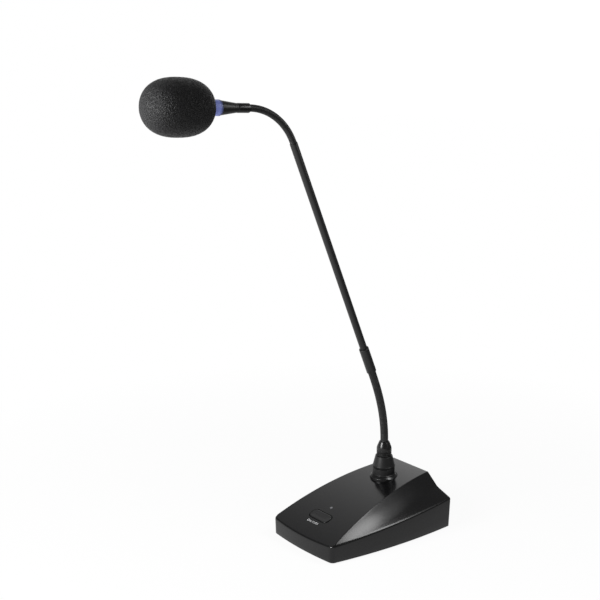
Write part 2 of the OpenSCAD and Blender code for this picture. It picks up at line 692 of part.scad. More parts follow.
// Plug at the foot of the neck
module plug_shell() color("#1e1e20") at_plug() rotate_extrude() polygon([
    [plug_d / 2 - plug_wall, plug_foot], [plug_d / 2, plug_foot], [plug_d / 2, ring_top],
    [plug_d / 2 + lip_out, ring_top], [plug_d / 2 + lip_out, ring_top + lip_h / 2],
    [plug_d / 2, ring_top + lip_h], [plug_d / 2, housing_z], [plug_d / 2 - plug_wall, housing_z]]);
module plug_insert() color("#26262a") at_plug() difference() {
    rod(plug_d - 2 * plug_wall - 2 * slip, carrier_z, carrier_z + carrier_t);
    for (p = pins_at) translate(p) rod(pin_d + 2 * slip, carrier_z - over, carrier_z + carrier_t + over);
}
module plug_pins() color("#c8c8c4") at_plug() for (p = pins_at) translate(p) {
    rod(pin_d, carrier_z - pin_len + pin_d / 2, carrier_z + carrier_t + 2);
    translate([0, 0, carrier_z - pin_len]) cylinder(d1 = pin_d / 2, d2 = pin_d, h = pin_d / 2);
}
module plug_housing() color("#1c1c1e") at_plug() rotate_extrude() polygon([
    [plug_d / 2 - plug_wall, housing_z], [plug_d / 2 - groove_in, housing_z],
    [plug_d / 2 - groove_in, housing_z + groove_h], [plug_d / 2, housing_z + groove_h],
    [plug_d / 2, housing_z + band_h], [taper_d / 2, collar_z], [low_d / 2 + housing_wall, collar_z],
    [low_d / 2 + housing_wall, collar_z - housing_wall], [plug_d / 2 - plug_wall, housing_z + band_h]]);
module plug_collar() color("#202022") at_plug() difference() {
    ring(collar_d, low_d + 2 * slip, collar_z, dome_z);
    for (k = [1, 2]) ring(collar_d + over, collar_d - 2 * groove_in,
        collar_z + k * collar_h / 3 - groove_h / 2, collar_z + k * collar_h / 3 + groove_h / 2);
}
module plug_dome() color("#232325") at_plug() rotate_extrude() polygon(concat(
    [for (a = [0:11.25:90])
        [low_d / 2 + 2 * slip + (collar_d / 2 - low_d / 2 - 2 * slip) * cos(a * 0.82),
         dome_z + dome_h * sin(a)]],
    [[low_d / 2 + 2 * slip, neck_z], [low_d / 2 + 2 * slip, dome_z + collet_h + slip],
     [collet_d[1] / 2 + 2 * slip, dome_z + collet_h + slip], [collet_d[0] / 2 + 2 * slip, dome_z]]));
module neck_collet() color("#b9b9b4") at_plug() difference() {
    translate([0, 0, dome_z]) cylinder(d1 = collet_d[0], d2 = collet_d[1], h = collet_h);
    rod(low_d + 2 * slip, dome_z - over, dome_z + collet_h + over);
    for (turn = [0:120:240]) rotate([0, 0, turn])
        translate([0, -collet_slot / 2, dome_z + collet_h / 3]) cube([collar_d, collet_slot, collet_h]);
}

// Flexible stretches: links that turn on knuckles, every other knuckle a quarter turn round
module knuckle(st, i, clear) at_joint(st, i) {
    reach = 3 * st_pitch(st);
    translate([-reach, -reach, -2 * reach]) cube(2 * reach);
    rotate([0, 90, 0]) cylinder(d = st[6] * knuckle_share + 2 * clear, h = 2 * reach, center = true);
}
module st_link(st, i) difference() {
    intersection() {
        leaning(st_joint(st, i), st_lean(st, i)) rod(st[6], -st[6], st_pitch(st) + st[6]);
        knuckle(st, i + 1, 0);
    }
    knuckle(st, i, link_clear);
    leaning(st_joint(st, i), st_lean(st, i)) rod(lead_bore, -st[6], 2 * st_pitch(st));
}
module st_root(st, spigot_d, spigot_len) difference() {
    union() {
        intersection() {
            leaning(st[0], st[1]) rod(st[6], 0, st_pitch(st) / 2 + st[6]);
            knuckle(st, 1, 0);
        }
        leaning(st[0], st[1]) rod(spigot_d, -spigot_len, st_pitch(st) / 4);
    }
    leaning(st[0], st[1]) rod(lead_bore, -spigot_len - over, st_pitch(st) + st[6]);
}
module st_tip(st, spigot_d, spigot_len) difference() {
    union() {
        difference() {
            leaning(st_joint(st, st[4]), st[2]) rod(st[6], -st[6], st_pitch(st) / 2);
            knuckle(st, st[4], link_clear);
        }
        leaning(st_end(st), st[2]) rod(spigot_d, -slip, spigot_len);
    }
    leaning(st_end(st), st[2]) rod(lead_bore, -st_pitch(st) - st[6], spigot_len + over);
}
module lower_link(i) color("#1a1a1b") st_link(LOW, i);
module upper_link(i) color("#1a1a1b") st_link(UP, i);
module lower_neck_root() color("#1a1a1b") st_root(LOW, low_d - 2 * slip, root_in);
module lower_neck_end() color("#1a1a1b") st_tip(LOW, stem_d, tube_in - slip);
module upper_neck_root() color("#1a1a1b") st_root(UP, stem_d - 2 * stem_wall - 2 * slip, up_in);
module upper_neck_end() color("#1a1a1b") st_tip(UP, up_d - 2 * slip, hstub);

// Stem
module joint_sleeve() color("#1d1d1f") at_stem() ring(sleeve_d, stem_d + 2 * slip, 0, sleeve_len);
module stem_tube() color("#202022") at_stem()
    ring(stem_d, stem_d - 2 * stem_wall, tube_in, sleeve_len + stem_len);

// Head
module head_collar() color("#222224") at_head() rotate_extrude() polygon([
    [up_d / 2 + slip, 0], [hcol_d / 2 - groove_h, 0], [hcol_d / 2, groove_h * 1.6],
    [hcol_d / 2, hcol_len - groove_h], [cone_small / 2, hcol_len], [lead_bore / 2, hcol_len],
    [lead_bore / 2, hstub + slip], [up_d / 2 + slip, hstub + slip]]);
module head_housing() color("#1e1e20") at_head() rotate_extrude() polygon([
    [lead_bore / 2, hcol_len], [cone_small / 2, hcol_len], [hcone_d / 2, light_s],
    [hcone_d / 2 - cone_wall, light_s], [cone_small / 2 - cone_wall, hcol_len + cone_wall],
    [lead_bore / 2, hcol_len + cone_wall]]);
module ring_board() color("#e8e8e0") at_head() {
    ring(ring_board_d, lead_bore, light_s - ring_board_t, light_s);
    for (k = [0:ring_leds - 1]) rotate([0, 0, k * 360 / ring_leds])
        translate([ring_board_d / 2 - ring_led.x - 0.4, -ring_led.y / 2, light_s - slip]) cube(ring_led);
}
module light_ring() color("#6f7fd0") at_head() ring(light_d, light_d - 2 * light_wall, light_s, tube_s);
module capsule_tube() color("#2b2b2d") at_head() difference() {
    rotate_extrude() polygon([
        [spigot_d / 2 - spigot_wall, tube_s - spigot_len], [spigot_d / 2, tube_s - spigot_len],
        [spigot_d / 2, tube_s], [cap_d / 2, tube_s], [cap_d / 2, cap_end],
        [cap_d / 2 - cap_wall, cap_end], [cap_d / 2 - cap_wall, tube_s + spigot_wall],
        [spigot_d / 2 - spigot_wall, tube_s + spigot_wall]]);
    for (k = [0:slots - 1]) rotate([0, 0, k * 360 / slots])
        translate([0, -slot_size.x / 2, capsule_s - slot_size.y - over])
            cube([cap_d, slot_size.x, slot_size.y]);
}
module capsule() color("#b8b8b2") at_head() rod(capsule_d, capsule_s, gasket_s);
module capsule_gasket() color("#151515") at_head()
    ring(capsule_d, capsule_d - 2 * gasket_wall, gasket_s, gasket_s + gasket_t);
module grille_cap() color("#2b2b2d") at_head() difference() {
    union() {
        ring(capsule_d, capsule_d - 2 * cap_wall, cap_end - grille_lip, cap_end + slip);
        rod(cap_d, cap_end, cap_end + grille_t / 2);
        translate([0, 0, cap_end + grille_t / 2])
            cylinder(d1 = cap_d, d2 = cap_d - grille_t, h = grille_t / 2);
    }
    rod(grille_hole_d, cap_end - over, cap_end + grille_t + over);
    for (k = [0:grille_holes - 1]) rotate([0, 0, k * 360 / grille_holes]) translate([cap_d / 4, 0])
        rod(grille_hole_d, cap_end - over, cap_end + grille_t + over);
}
module windscreen() color("#1c1c1d") at_head() difference() {
    rotate_extrude() polygon([for (a = [0:7.5:180])
        [foam_d / 2 * blunt(sin(a)), foam_s + foam_len / 2 * (1 - blunt(cos(a)))]]);
    rod(foam_bore, foam_s - over, foam_bore_end);
}

base_cover();
bottom_plate();
base_pad();
ballast();
plate_screws();
ballast_screws();
circuit_board();
board_screws();
tact_switch();
switch_plunger();
talk_button();
indicator_led();
light_pipe();
socket_shell();
socket_insert();
socket_contacts();
socket_screws();
outlet_shell();
outlet_insert();
outlet_pins();
outlet_screws();
mic_wires();
output_wires();
plug_shell();
plug_insert();
plug_pins();
plug_housing();
plug_collar();
plug_dome();
neck_collet();
lower_neck_root();
lower_neck_end();
joint_sleeve();
stem_tube();
upper_neck_root();
upper_neck_end();
head_collar();
head_housing();
ring_board();
light_ring();
capsule_tube();
capsule();
capsule_gasket();
grille_cap();
windscreen();
for (i = [1:joints_each - 1]) lower_link(i);
for (i = [1:joints_each - 1]) upper_link(i);
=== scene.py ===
import json
import math

import bmesh
import bpy
import numpy as np
from bpy.props import FloatProperty, FloatVectorProperty, IntProperty, PointerProperty
from mathutils import Matrix, Vector, noise


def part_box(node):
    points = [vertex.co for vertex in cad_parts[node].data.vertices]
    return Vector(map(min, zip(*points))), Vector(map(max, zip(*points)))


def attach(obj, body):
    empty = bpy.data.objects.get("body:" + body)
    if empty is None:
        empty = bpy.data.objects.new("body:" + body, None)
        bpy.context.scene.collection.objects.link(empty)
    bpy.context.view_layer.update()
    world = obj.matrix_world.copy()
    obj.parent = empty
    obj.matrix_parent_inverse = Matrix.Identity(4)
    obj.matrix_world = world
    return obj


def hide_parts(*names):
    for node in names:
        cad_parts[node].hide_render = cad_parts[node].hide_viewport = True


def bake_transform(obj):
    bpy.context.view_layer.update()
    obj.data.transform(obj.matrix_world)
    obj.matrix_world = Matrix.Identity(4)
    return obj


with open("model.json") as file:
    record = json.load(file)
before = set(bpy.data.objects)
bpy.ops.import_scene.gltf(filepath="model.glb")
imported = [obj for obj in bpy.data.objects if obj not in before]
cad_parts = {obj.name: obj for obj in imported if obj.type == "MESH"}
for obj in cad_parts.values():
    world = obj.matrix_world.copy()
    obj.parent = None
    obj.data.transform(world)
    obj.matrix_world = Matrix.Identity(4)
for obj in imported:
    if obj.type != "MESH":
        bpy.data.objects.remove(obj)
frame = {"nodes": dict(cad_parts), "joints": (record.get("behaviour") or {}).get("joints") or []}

bl_info = {
    "name": "Gooseneck microphone",
    "version": (1, 0, 0),
    "blender": (4, 5, 0),
    "location": "View3D > Sidebar > Microphone",
    "description": "Dresses the gooseneck microphone piece by piece and sets its stage",
    "category": "Object",
}

MM = 0.001
FIT = 0.05 * MM
LINKS = 8
UP = Vector((0, 0, 1))
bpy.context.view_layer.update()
JOINTS = {joint["name"]: joint for joint in frame["joints"]}
FLOAT = "NodeSocketFloat"
COLOUR = "NodeSocketColor"


# Places taken from the frame

def joint_place(name):
    return Vector(JOINTS[name]["pos_m"])


def joint_axis(name):
    return Vector(JOINTS[name]["axis"]).normalized()


def neck_joints(stretch):
    names = [f"{stretch}_{'bend' if i % 2 else 'sway'}_{i}" for i in range(1, LINKS + 1)]
    return [joint_place(name) for name in names]


def axis_frame(origin, axis):
    """A frame at origin whose Z runs along axis and whose X stays level."""
    z = Vector(axis).normalized()
    x = Vector((1, 0, 0))
    y = z.cross(x).normalized()
    turn = Matrix((x, y, z)).transposed().to_4x4()
    return Matrix.Translation(origin) @ turn


def node_points(node):
    """The points of a CAD node, one to a row."""
    return np.array([v.co for v in frame["nodes"][node].data.vertices])


def seen_from(node, place):
    """Heights along the Z of a frame and radii round it of a CAD node's points."""
    back = np.array(place.inverted())
    local = node_points(node) @ back[:3, :3].T + back[:3, 3]
    return local[:, 2], np.hypot(local[:, 0], local[:, 1])


def reach(node, place):
    """Lowest and highest point of a CAD node along the Z of a frame, and its widest radius there."""
    z, r = seen_from(node, place)
    return float(z.min()), float(z.max()), float(r.max())


def girth(node, place, low, high):
    """Least and greatest radius of a CAD node between two heights of a frame."""
    z, r = seen_from(node, place)
    band = r[(z > low - FIT) & (z < high + FIT)]
    return float(band.min()), float(band.max())


LOWER = neck_joints("lower")
UPPER = neck_joints("upper")
STEM_AXIS = (UPPER[0] - LOWER[-1]).normalized()
HEAD_AXIS = joint_axis("windscreen_pull")
PLUG = axis_frame((0, LOWER[0].y, 0), UP)
STEM = axis_frame(LOWER[-1] + STEM_AXIS * (LOWER[1] - LOWER[0]).length / 2, STEM_AXIS)
HEAD = axis_frame(UPPER[-1] + HEAD_AXIS * (UPPER[1] - UPPER[0]).length / 2, HEAD_AXIS)


# Sizes and colours that a user may change

def measure(name, millimetres, description):
    return FloatProperty(name=name, description=description, default=millimetres * MM, min=0.0,
                         precision=5, unit="LENGTH")


def share(name, value, description):
    return FloatProperty(name=name, description=description, default=value, min=0.0, max=1.0,
                         subtype="FACTOR")


def tint(name, value, description):
    return FloatVectorProperty(name=name, description=description, default=value, size=3, min=0.0,
                               max=1.0, subtype="COLOR")


class MicCoverSizes(bpy.types.PropertyGroup):
    """Sizes of the wedge-shaped base cover."""
    length: measure("Length", 126.4, "From the front corners to the rear wall")
    front_width: measure("Front width", 75.8, "Between the front corners")
    rear_width: measure("Rear width", 98.6, "Between the rear corners")
    front_bow: measure("Front bow", 2.6, "How far the front wall bows out")
    side_bow: measure("Side bow", 4.1, "How far each side wall bows out")
    front_height: measure("Front height", 14.0, "Wall height at the front")
    side_height: measure("Side height", 26.4, "Wall height at the rear corners")
    rear_height: measure("Rear height", 41.8, "Height of the crown at the rear")
    spine_width: measure("Spine width", 42.2, "Width of the crown at the rear")
    crease_width: measure("Crease width", 66.2, "Between the creases of the coves at the rear")
    crease_height: measure("Crease height", 32.0, "Height of the creases at the rear")
    corner: measure("Front corner radius", 5.0, "Radius of the upright front corners")
    rear_corner: measure("Rear corner radius", 1.6, "Radius of the upright rear corners")
    draft: measure("Draft", 0.85, "How far the wall leans over its height")
    wall: measure("Wall", 2.4, "Thickness of the moulding")
    lift: measure("Lift", 1.2, "Gap under the lower edge")
    foot: measure("Foot rounding", 0.5, "Rounding of the lower edge")
    rim: measure("Rim rounding", 1.5, "Rounding of the upper edge")
    inner_rim: measure("Inner rim rounding", 0.6, "Rounding of the upper edge inside")
    ridge: measure("Ridge rounding", 0.2, "Rounding of the edge between crown and cove")


class MicButtonSizes(bpy.types.PropertyGroup):
    """Sizes of the talk button and its mark."""
    back: measure("Set back", 20.7, "From the front corners to the middle of the button")
    width: measure("Width", 22.0, "Width of the cap")
    length: measure("Length", 9.2, "Length of the cap")
    corner: measure("Corner radius", 3.4, "Radius of the cap's corners")
    gap: measure("Gap", 0.7, "Gap round the cap")
    proud: measure("Proud", 0.4, "How far the cap stands above the crown")
    dish: measure("Dish", 0.12, "How far the cap is hollowed")
    lip: measure("Lip", 1.2, "Width of the hidden lip that keeps the cap in")
    edge: measure("Edge rounding", 0.5, "Rounding of the cap's upper edge")
    mark_back: measure("Mark set back", 12.5, "From the front corners to the printed mark")
    mark_height: measure("Mark height", 2.2, "Height of the printed letters")


class MicNeckSizes(bpy.types.PropertyGroup):
    """Sizes of the wound flexible stretches."""
    lower_diameter: measure("Lower diameter", 6.8, "Diameter of the lower stretch")
    upper_diameter: measure("Upper diameter", 5.4, "Diameter of the upper stretch")
    pitch: measure("Pitch", 1.3, "Length of one turn of the winding")
    groove: measure("Groove", 0.16, "Depth of the groove between turns")
    knuckle: measure("Knuckle gap", 0.25, "From a bend joint to the ends of the winding on each side of it")
    sides: IntProperty(name="Sides", description="Points round the tube", default=48, min=12, max=96)


class MicFoamSizes(bpy.types.PropertyGroup):
    """Sizes of the foam windscreen."""
    length: measure("Length", 53.9, "Length of the foam")
    diameter: measure("Diameter", 41.4, "Widest diameter")
    bore: measure("Bore", 12.3, "Bore for the capsule tube")
    cell: measure("Cell", 1.15, "Size of the open cells")
    depth: measure("Cell depth", 0.32, "Depth of the open cells")
    pit: share("Pit", 0.55, "Radius of a cell's pit as a share of the cell")
    blunt: share("Bluntness", 0.81, "Power of the rounding, where 1 is an ellipse and less is blunter")


class MicColours(bpy.types.PropertyGroup):
    """Colours of the visible finishes."""
    cover: tint("Cover", (0.0030, 0.0030, 0.0033), "Gloss plastic of the base")
    button: tint("Button", (0.0035, 0.0035, 0.0038), "Satin plastic of the button")
    mark: tint("Mark", (0.62, 0.62, 0.63), "Printed mark")
    coat: tint("Coat", (0.0035, 0.0035, 0.0037), "Black coat on the metal pieces")
    neck: tint("Neck", (0.0035, 0.0035, 0.0037), "Black coat on the flexible stretches")
    foam: tint("Foam", (0.012, 0.012, 0.0125), "Open-cell foam")
    glow: tint("Ring", (0.15, 0.185, 0.48), "Light ring in the head")
    floor: tint("Floor", (0.86, 0.86, 0.86), "Floor of the stage")


# Mesh helpers

ROUND_STEPS = 4
# Corners flatter or sharper than these angles, in radians, aren't rounded
STRAIGHT = math.pi - 0.05
FOLDED = 0.02
# Most of a leg that a rounding may take
LEG_SHARE = 0.49
# Rings smaller than this are a point on the axis
ON_AXIS = 1e-7
LONG_WALL = 20 * MM
SMALL_SEGMENTS = 32


def lerp(a, b, t):
    return a + (b - a) * t


def quarter(steps):
    """Cosine and sine at even steps of a quarter turn."""
    turns = [math.pi / 2 * k / steps for k in range(steps + 1)]
    return [(math.cos(a), math.sin(a)) for a in turns]


def bezier(a, b, c, t):
    """The point at t of a bend from a to c whose legs meet at b."""
    return (1 - t) ** 2 * a + 2 * t * (1 - t) * b + t ** 2 * c


def mesh_from(name, verts, faces):
    mesh = bpy.data.meshes.new(name)
    mesh.from_pydata([tuple(v) for v in verts], [], [tuple(f) for f in faces])
    mesh.update()
    return mesh


def new_object(name, data):
    """An object in the scene."""
    obj = bpy.data.objects.new(name, data)
    bpy.context.scene.collection.objects.link(obj)
    return obj


def piece(name, mesh, material, body, stands_for=(), sharp=35):
    """Makes a finished mesh a piece that rides on a body, if one is given."""
    mesh.shade_smooth()
    mesh.set_sharp_from_angle(angle=math.radians(sharp))
    mesh.materials.clear()
    mesh.materials.append(material)
    obj = new_object(name, mesh)
    if body:
        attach(obj, body)
    if stands_for:
        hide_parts(*stands_for)
    return obj


def soften(points, radius, loop=False):
    """A polyline with its corners rounded; radius is one number or one for each point."""
    pts = [np.array(p, float) for p in points]
    radii = radius if isinstance(radius, (list, tuple)) else [radius] * len(pts)
    out = []
    for i, p in enumerate(pts):
        at_end = not loop and i in (0, len(pts) - 1)
        if at_end or radii[i] <= 0:
            out.append(p)
            continue
        a = pts[i - 1] - p
        b = pts[(i + 1) % len(pts)] - p
        la, lb = np.linalg.norm(a), np.linalg.norm(b)
        a, b = a / la, b / lb
        angle = math.acos(max(-1.0, min(1.0, float(a @ b))))
        if angle > STRAIGHT or angle < FOLDED:
            out.append(p)
            continue
        cut = min(radii[i] / math.tan(angle / 2), LEG_SHARE * la, LEG_SHARE * lb)
        r = cut * math.tan(angle / 2)
        middle = (a + b) / np.linalg.norm(a + b)
        centre = p + middle * r / math.sin(angle / 2)
        v0, v1 = p + a * cut - centre, p + b * cut - centre
        sweep = math.pi - angle
        for k in range(ROUND_STEPS + 1):
            t = k / ROUND_STEPS
            w0 = math.sin((1 - t) * sweep) / math.sin(sweep)
            w1 = math.sin(t * sweep) / math.sin(sweep)
            out.append(centre + v0 * w0 + v1 * w1)
    return out


def turned_mesh(name, profile, place, segments=96, loop=False):
    """A mesh turned round the Z of a frame from a profile of radius and height, run anticlockwise."""
    verts, faces, rings = [], [], []
    for r, h in profile:
        start = len(verts)
        if r < ON_AXIS:
            verts.append(place @ Vector((0, 0, h)))
            rings.append([start])
            continue
        for k in range(segments):
            a = 2 * math.pi * k / segments
            verts.append(place @ Vector((r * math.cos(a), r * math.sin(a), h)))
        rings.append(list(range(start, start + segments)))
    pairs = list(zip(rings, rings[1:]))
    if loop:
        pairs.append((rings[-1], rings[0]))
    for low, high in pairs:
        for k in range(segments):
            j = (k + 1) % segments
            if len(low) == 1:
                faces.append((low[0], high[j], high[k]))
            elif len(high) == 1:
                faces.append((low[k], low[j], high[0]))
            else:
                faces.append((low[k], low[j], high[j], high[k]))
    return mesh_from(name, verts, faces)


def rounded_turning(name, points, radii, place, segments=96):
    """A turned mesh of a closed profile with its corners rounded by so many millimetres."""
    profile = soften(points, [r * MM for r in radii], loop=True)
    return turned_mesh(name, profile, place, segments, loop=True)


def tube_mesh(name, place, inner, outer, low, high, rounding):
    """A tube on the Z of a frame, with more rows along a long wall."""
    profile = soften([(inner, low), (outer, low), (outer, high), (inner, high)],
                     [0, rounding, rounding, 0], loop=True)
    rows = []
    for a, b in zip(profile, profile[1:] + profile[:1]):
        rows.append(a)
        if abs(b[1] - a[1]) > LONG_WALL:
            rows.extend(lerp(a, b, t) for t in (0.25, 0.5, 0.75))
    return turned_mesh(name, rows, place, loop=True)


def drill(name, place, radius, low, high, segments=96):
    """A plain cylinder on the Z of a frame, to cut with."""
    return turned_mesh(name, [(0, low), (radius, low), (radius, high), (0, high)], place, segments)


def rounded_rectangle(width, length, radius, steps=8):
    """Points of a rounded rectangle, anticlockwise."""
    points = []
    for sx, sy, turn in ((1, -1, -90), (1, 1, 0), (-1, 1, 90), (-1, -1, 180)):
        for k in range(steps + 1):
            a = math.radians(turn + 90 * k / steps)
            points.append((sx * (width / 2 - radius) + radius * math.cos(a),
                           sy * (length / 2 - radius) + radius * math.sin(a)))
    return points


def stacked_mesh(name, rings):
    """A closed mesh from rings of equal length, each anticlockwise seen from above, lowest first."""
    count = len(rings[0])
    verts = [p for ring in rings for p in ring]
    faces = []
    for i in range(len(rings) - 1):
        for k in range(count):
            j = (k + 1) % count
            faces.append((i * count + k, i * count + j, (i + 1) * count + j, (i + 1) * count + k))
    faces.append(tuple(range(count - 1, -1, -1)))
    faces.append(tuple(range((len(rings) - 1) * count, len(rings) * count)))
    return mesh_from(name, verts, faces)


def prism_mesh(name, outline, low, high, place):
    rings = [[place @ Vector((x, y, z)) for x, y in outline] for z in (low, high)]
    return stacked_mesh(name, rings)


def joined(name, meshes):
    """One mesh out of several."""
    work = bmesh.new()
    for mesh in meshes:
        work.from_mesh(mesh)
        bpy.data.meshes.remove(mesh)
    out = bpy.data.meshes.new(name)
    work.to_mesh(out)
    work.free()
    return out


def evaluated_mesh(obj, name):
    """The mesh of an object with its modifiers applied."""
    depsgraph = bpy.context.evaluated_depsgraph_get()
    depsgraph.update()
    out = bpy.data.meshes.new_from_object(obj.evaluated_get(depsgraph))
    out.name = name
    return out


def cut_mesh(mesh, cutters):
    """The mesh with the cutters taken away."""
    body = new_object(mesh.name + "_body", mesh)
    tool = new_object(mesh.name + "_tool", joined(mesh.name + "_tool", cutters))
    cut = body.modifiers.new("cut", "BOOLEAN")
    cut.operation = "DIFFERENCE"
    cut.solver = "EXACT"
    cut.object = tool
    out = evaluated_mesh(body, mesh.name)
    for obj in (body, tool):
        data = obj.data
        bpy.data.objects.remove(obj)
        bpy.data.meshes.remove(data)
    return out


# Node helpers

def feed(tree, node, inputs):
    """Gives a node its inputs, which are values or sockets, by name or number."""
    for key, value in inputs.items():
        if isinstance(value, bpy.types.NodeSocket):
            tree.links.new(value, node.inputs[key])
        else:
            node.inputs[key].default_value = value


def add(tree, kind, inputs=None, **settings):
    """Adds a node with its settings and inputs."""
    node = tree.nodes.new(kind)
    for key, value in settings.items():
        setattr(node, key, value)
    feed(tree, node, inputs or {})
    return node


def math_node(tree, operation, a, b=0.0):
    return add(tree, "ShaderNodeMath", {0: a, 1: b}, operation=operation).outputs[0]


def plus(tree, a, b):
    return math_node(tree, "ADD", a, b)


def minus(tree, a, b):
    return math_node(tree, "SUBTRACT", a, b)


def times(tree, a, b):
    return math_node(tree, "MULTIPLY", a, b)


def larger(tree, a, b):
    return math_node(tree, "MAXIMUM", a, b)


def ranged(tree, value, low, high, start=0.0, end=1.0):
    """A value between low and high put between start and end."""
    return add(tree, "ShaderNodeMapRange", {0: value, 1: low, 2: high, 3: start, 4: end}).outputs[0]


def mix_colour(tree, factor, a, b):
    return add(tree, "ShaderNodeMix", {0: factor, 6: a, 7: b}, data_type="RGBA").outputs[2]


def object_place(tree):
    return add(tree, "ShaderNodeTexCoord").outputs["Object"]


def how_far(tree, place, way):
    """How far a place lies along a way."""
    return add(tree, "ShaderNodeVectorMath", {0: place, 1: way}, operation="DOT_PRODUCT").outputs["Value"]


def clouds(tree, place, scale, detail, roughness=0.5):
    """Soft noise over a place."""
    inputs = {"Vector": place, "Scale": scale, "Detail": detail, "Roughness": roughness}
    return add(tree, "ShaderNodeTexNoise", inputs).outputs["Fac"]


def bumps(tree, height, depth, strength=1.0):
    """A normal bent by a height that stands for so many millimetres."""
    inputs = {"Strength": strength, "Distance": depth * MM, "Height": height}
    return add(tree, "ShaderNodeBump", inputs).outputs[0]


def camera_ray(tree):
    return add(tree, "ShaderNodeLightPath").outputs["Is Camera Ray"]


def rgba(colour, level=1.0):
    """A colour for a socket, made lighter or darker by a level."""
    return (colour[0] * level, colour[1] * level, colour[2] * level, 1.0)


def new_group(name, inputs, outputs):
    """An empty shader group with named sockets; returns its tree, inputs and output node."""
    tree = bpy.data.node_groups.new(name, "ShaderNodeTree")
    for label, kind, value in inputs:
        socket = tree.interface.new_socket(label, in_out="INPUT", socket_type=kind)
        socket.default_value = value
    for label, kind in outputs:
        tree.interface.new_socket(label, in_out="OUTPUT", socket_type=kind)
    return tree, add(tree, "NodeGroupInput").outputs, add(tree, "NodeGroupOutput").inputs


# Finishes

def surface_grain():
    """Fine moulded or sprayed grain on slow waves, as a height."""
    found = bpy.data.node_groups.get("Surface grain")
    if found:
        return found
    tree, ins, out = new_group("Surface grain", [("Size", FLOAT, 0.0004), ("Unevenness", FLOAT, 0.3)],
                               [("Height", FLOAT)])
    place = object_place(tree)
    fine = clouds(tree, place, scale=math_node(tree, "DIVIDE", 1.0, ins["Size"]), detail=3.0)
    waves = times(tree, clouds(tree, place, scale=45.0, detail=1.0), ins["Unevenness"])
    tree.links.new(plus(tree, fine, waves), out["Height"])
    return tree


def handling_wear():
    """Smudges and settled dust: varies a colour and a roughness over the surface."""
    found = bpy.data.node_groups.get("Handling wear")
    if found:
        return found
    tree, ins, out = new_group(
        "Handling wear",
        [("Colour", COLOUR, (0.02, 0.02, 0.02, 1)), ("Dust colour", COLOUR, (0.2, 0.2, 0.19, 1)),
         ("Dust", FLOAT, 0.1), ("Roughness", FLOAT, 0.3), ("Smudge", FLOAT, 0.08)],
        [("Colour", COLOUR), ("Roughness", FLOAT)])
    place = object_place(tree)
    up = add(tree, "ShaderNodeSeparateXYZ", {0: add(tree, "ShaderNodeNewGeometry").outputs["Normal"]})
    facing = ranged(tree, up.outputs["Z"], 0.2, 1.0)
    specks = ranged(tree, clouds(tree, place, scale=1400.0, detail=2.0), 0.56, 0.78)
    dust = times(tree, times(tree, specks, facing), ins["Dust"])
    tree.links.new(mix_colour(tree, dust, ins["Colour"], ins["Dust colour"]), out["Colour"])
    smear = minus(tree, clouds(tree, place, scale=38.0, detail=5.0, roughness=0.6), 0.5)
    rubbed = plus(tree, ins["Roughness"], times(tree, times(tree, smear, ins["Smudge"]), 2.0))
    tree.links.new(plus(tree, rubbed, times(tree, dust, 0.4)), out["Roughness"])
    return tree


def start_material(name):
    """An empty material; returns it, its tree and its main shader."""
    material = bpy.data.materials.new(name)
    material.use_nodes = True
    tree = material.node_tree
    tree.nodes.clear()
    shader = add(tree, "ShaderNodeBsdfPrincipled")
    add(tree, "ShaderNodeOutputMaterial", {0: shader.outputs[0]})
    return material, tree, shader


def finish(name, colour, roughness, grain=0.0004, relief=0.02, dust=0.05, smudge=0.05, metallic=0.0,
           specular=0.5, unevenness=0.3):
    """A coated, moulded or bare finish with grain, smudges and dust."""
    found = bpy.data.materials.get(name)
    if found:
        return found
    material, tree, shader = start_material(name)
    wear = add(tree, "ShaderNodeGroup", {"Colour": rgba(colour), "Dust": dust, "Roughness": roughness,
                                         "Smudge": smudge}, node_tree=handling_wear())
    texture = add(tree, "ShaderNodeGroup", {"Size": grain, "Unevenness": unevenness},
                  node_tree=surface_grain())
    feed(tree, shader, {"Base Color": wear.outputs["Colour"], "Roughness": wear.outputs["Roughness"],
                        "Normal": bumps(tree, texture.outputs["Height"], relief),
                        "Metallic": metallic, "Specular IOR Level": specular})
    return material


def coat_finish(name="Black coat on metal", specular=0.37):
    return finish(name, bpy.context.scene.mic_colours.coat, 0.42, grain=0.0003,
                  relief=0.012, dust=0.03, smudge=0.05, specular=specular)


def stem_finish():
    return coat_finish("Brighter black coat", 0.54)


def polished_finish():
    return finish("Polished black coat", bpy.context.scene.mic_colours.coat, 0.26, grain=0.0004,
                  relief=0.006, dust=0.03, smudge=0.04, specular=0.45)


def cover_finish():
    return finish("Gloss cover plastic", bpy.context.scene.mic_colours.cover, 0.2, grain=0.0005,
                  relief=0.004, dust=0.04, smudge=0.04, specular=0.42, unevenness=0.5)


def button_finish():
    return finish("Satin button plastic", bpy.context.scene.mic_colours.button, 0.3, grain=0.0003,
                  relief=0.01, dust=0.05)


# Form of the base

FRONT_BEND = 1.0
REAR_BEND = 0.08
RIDGE_SHARE = 0.06
LEAST_RIDGE = 0.01 * MM
LEAST_RUN = 1e-9
ARC_STEPS = 400


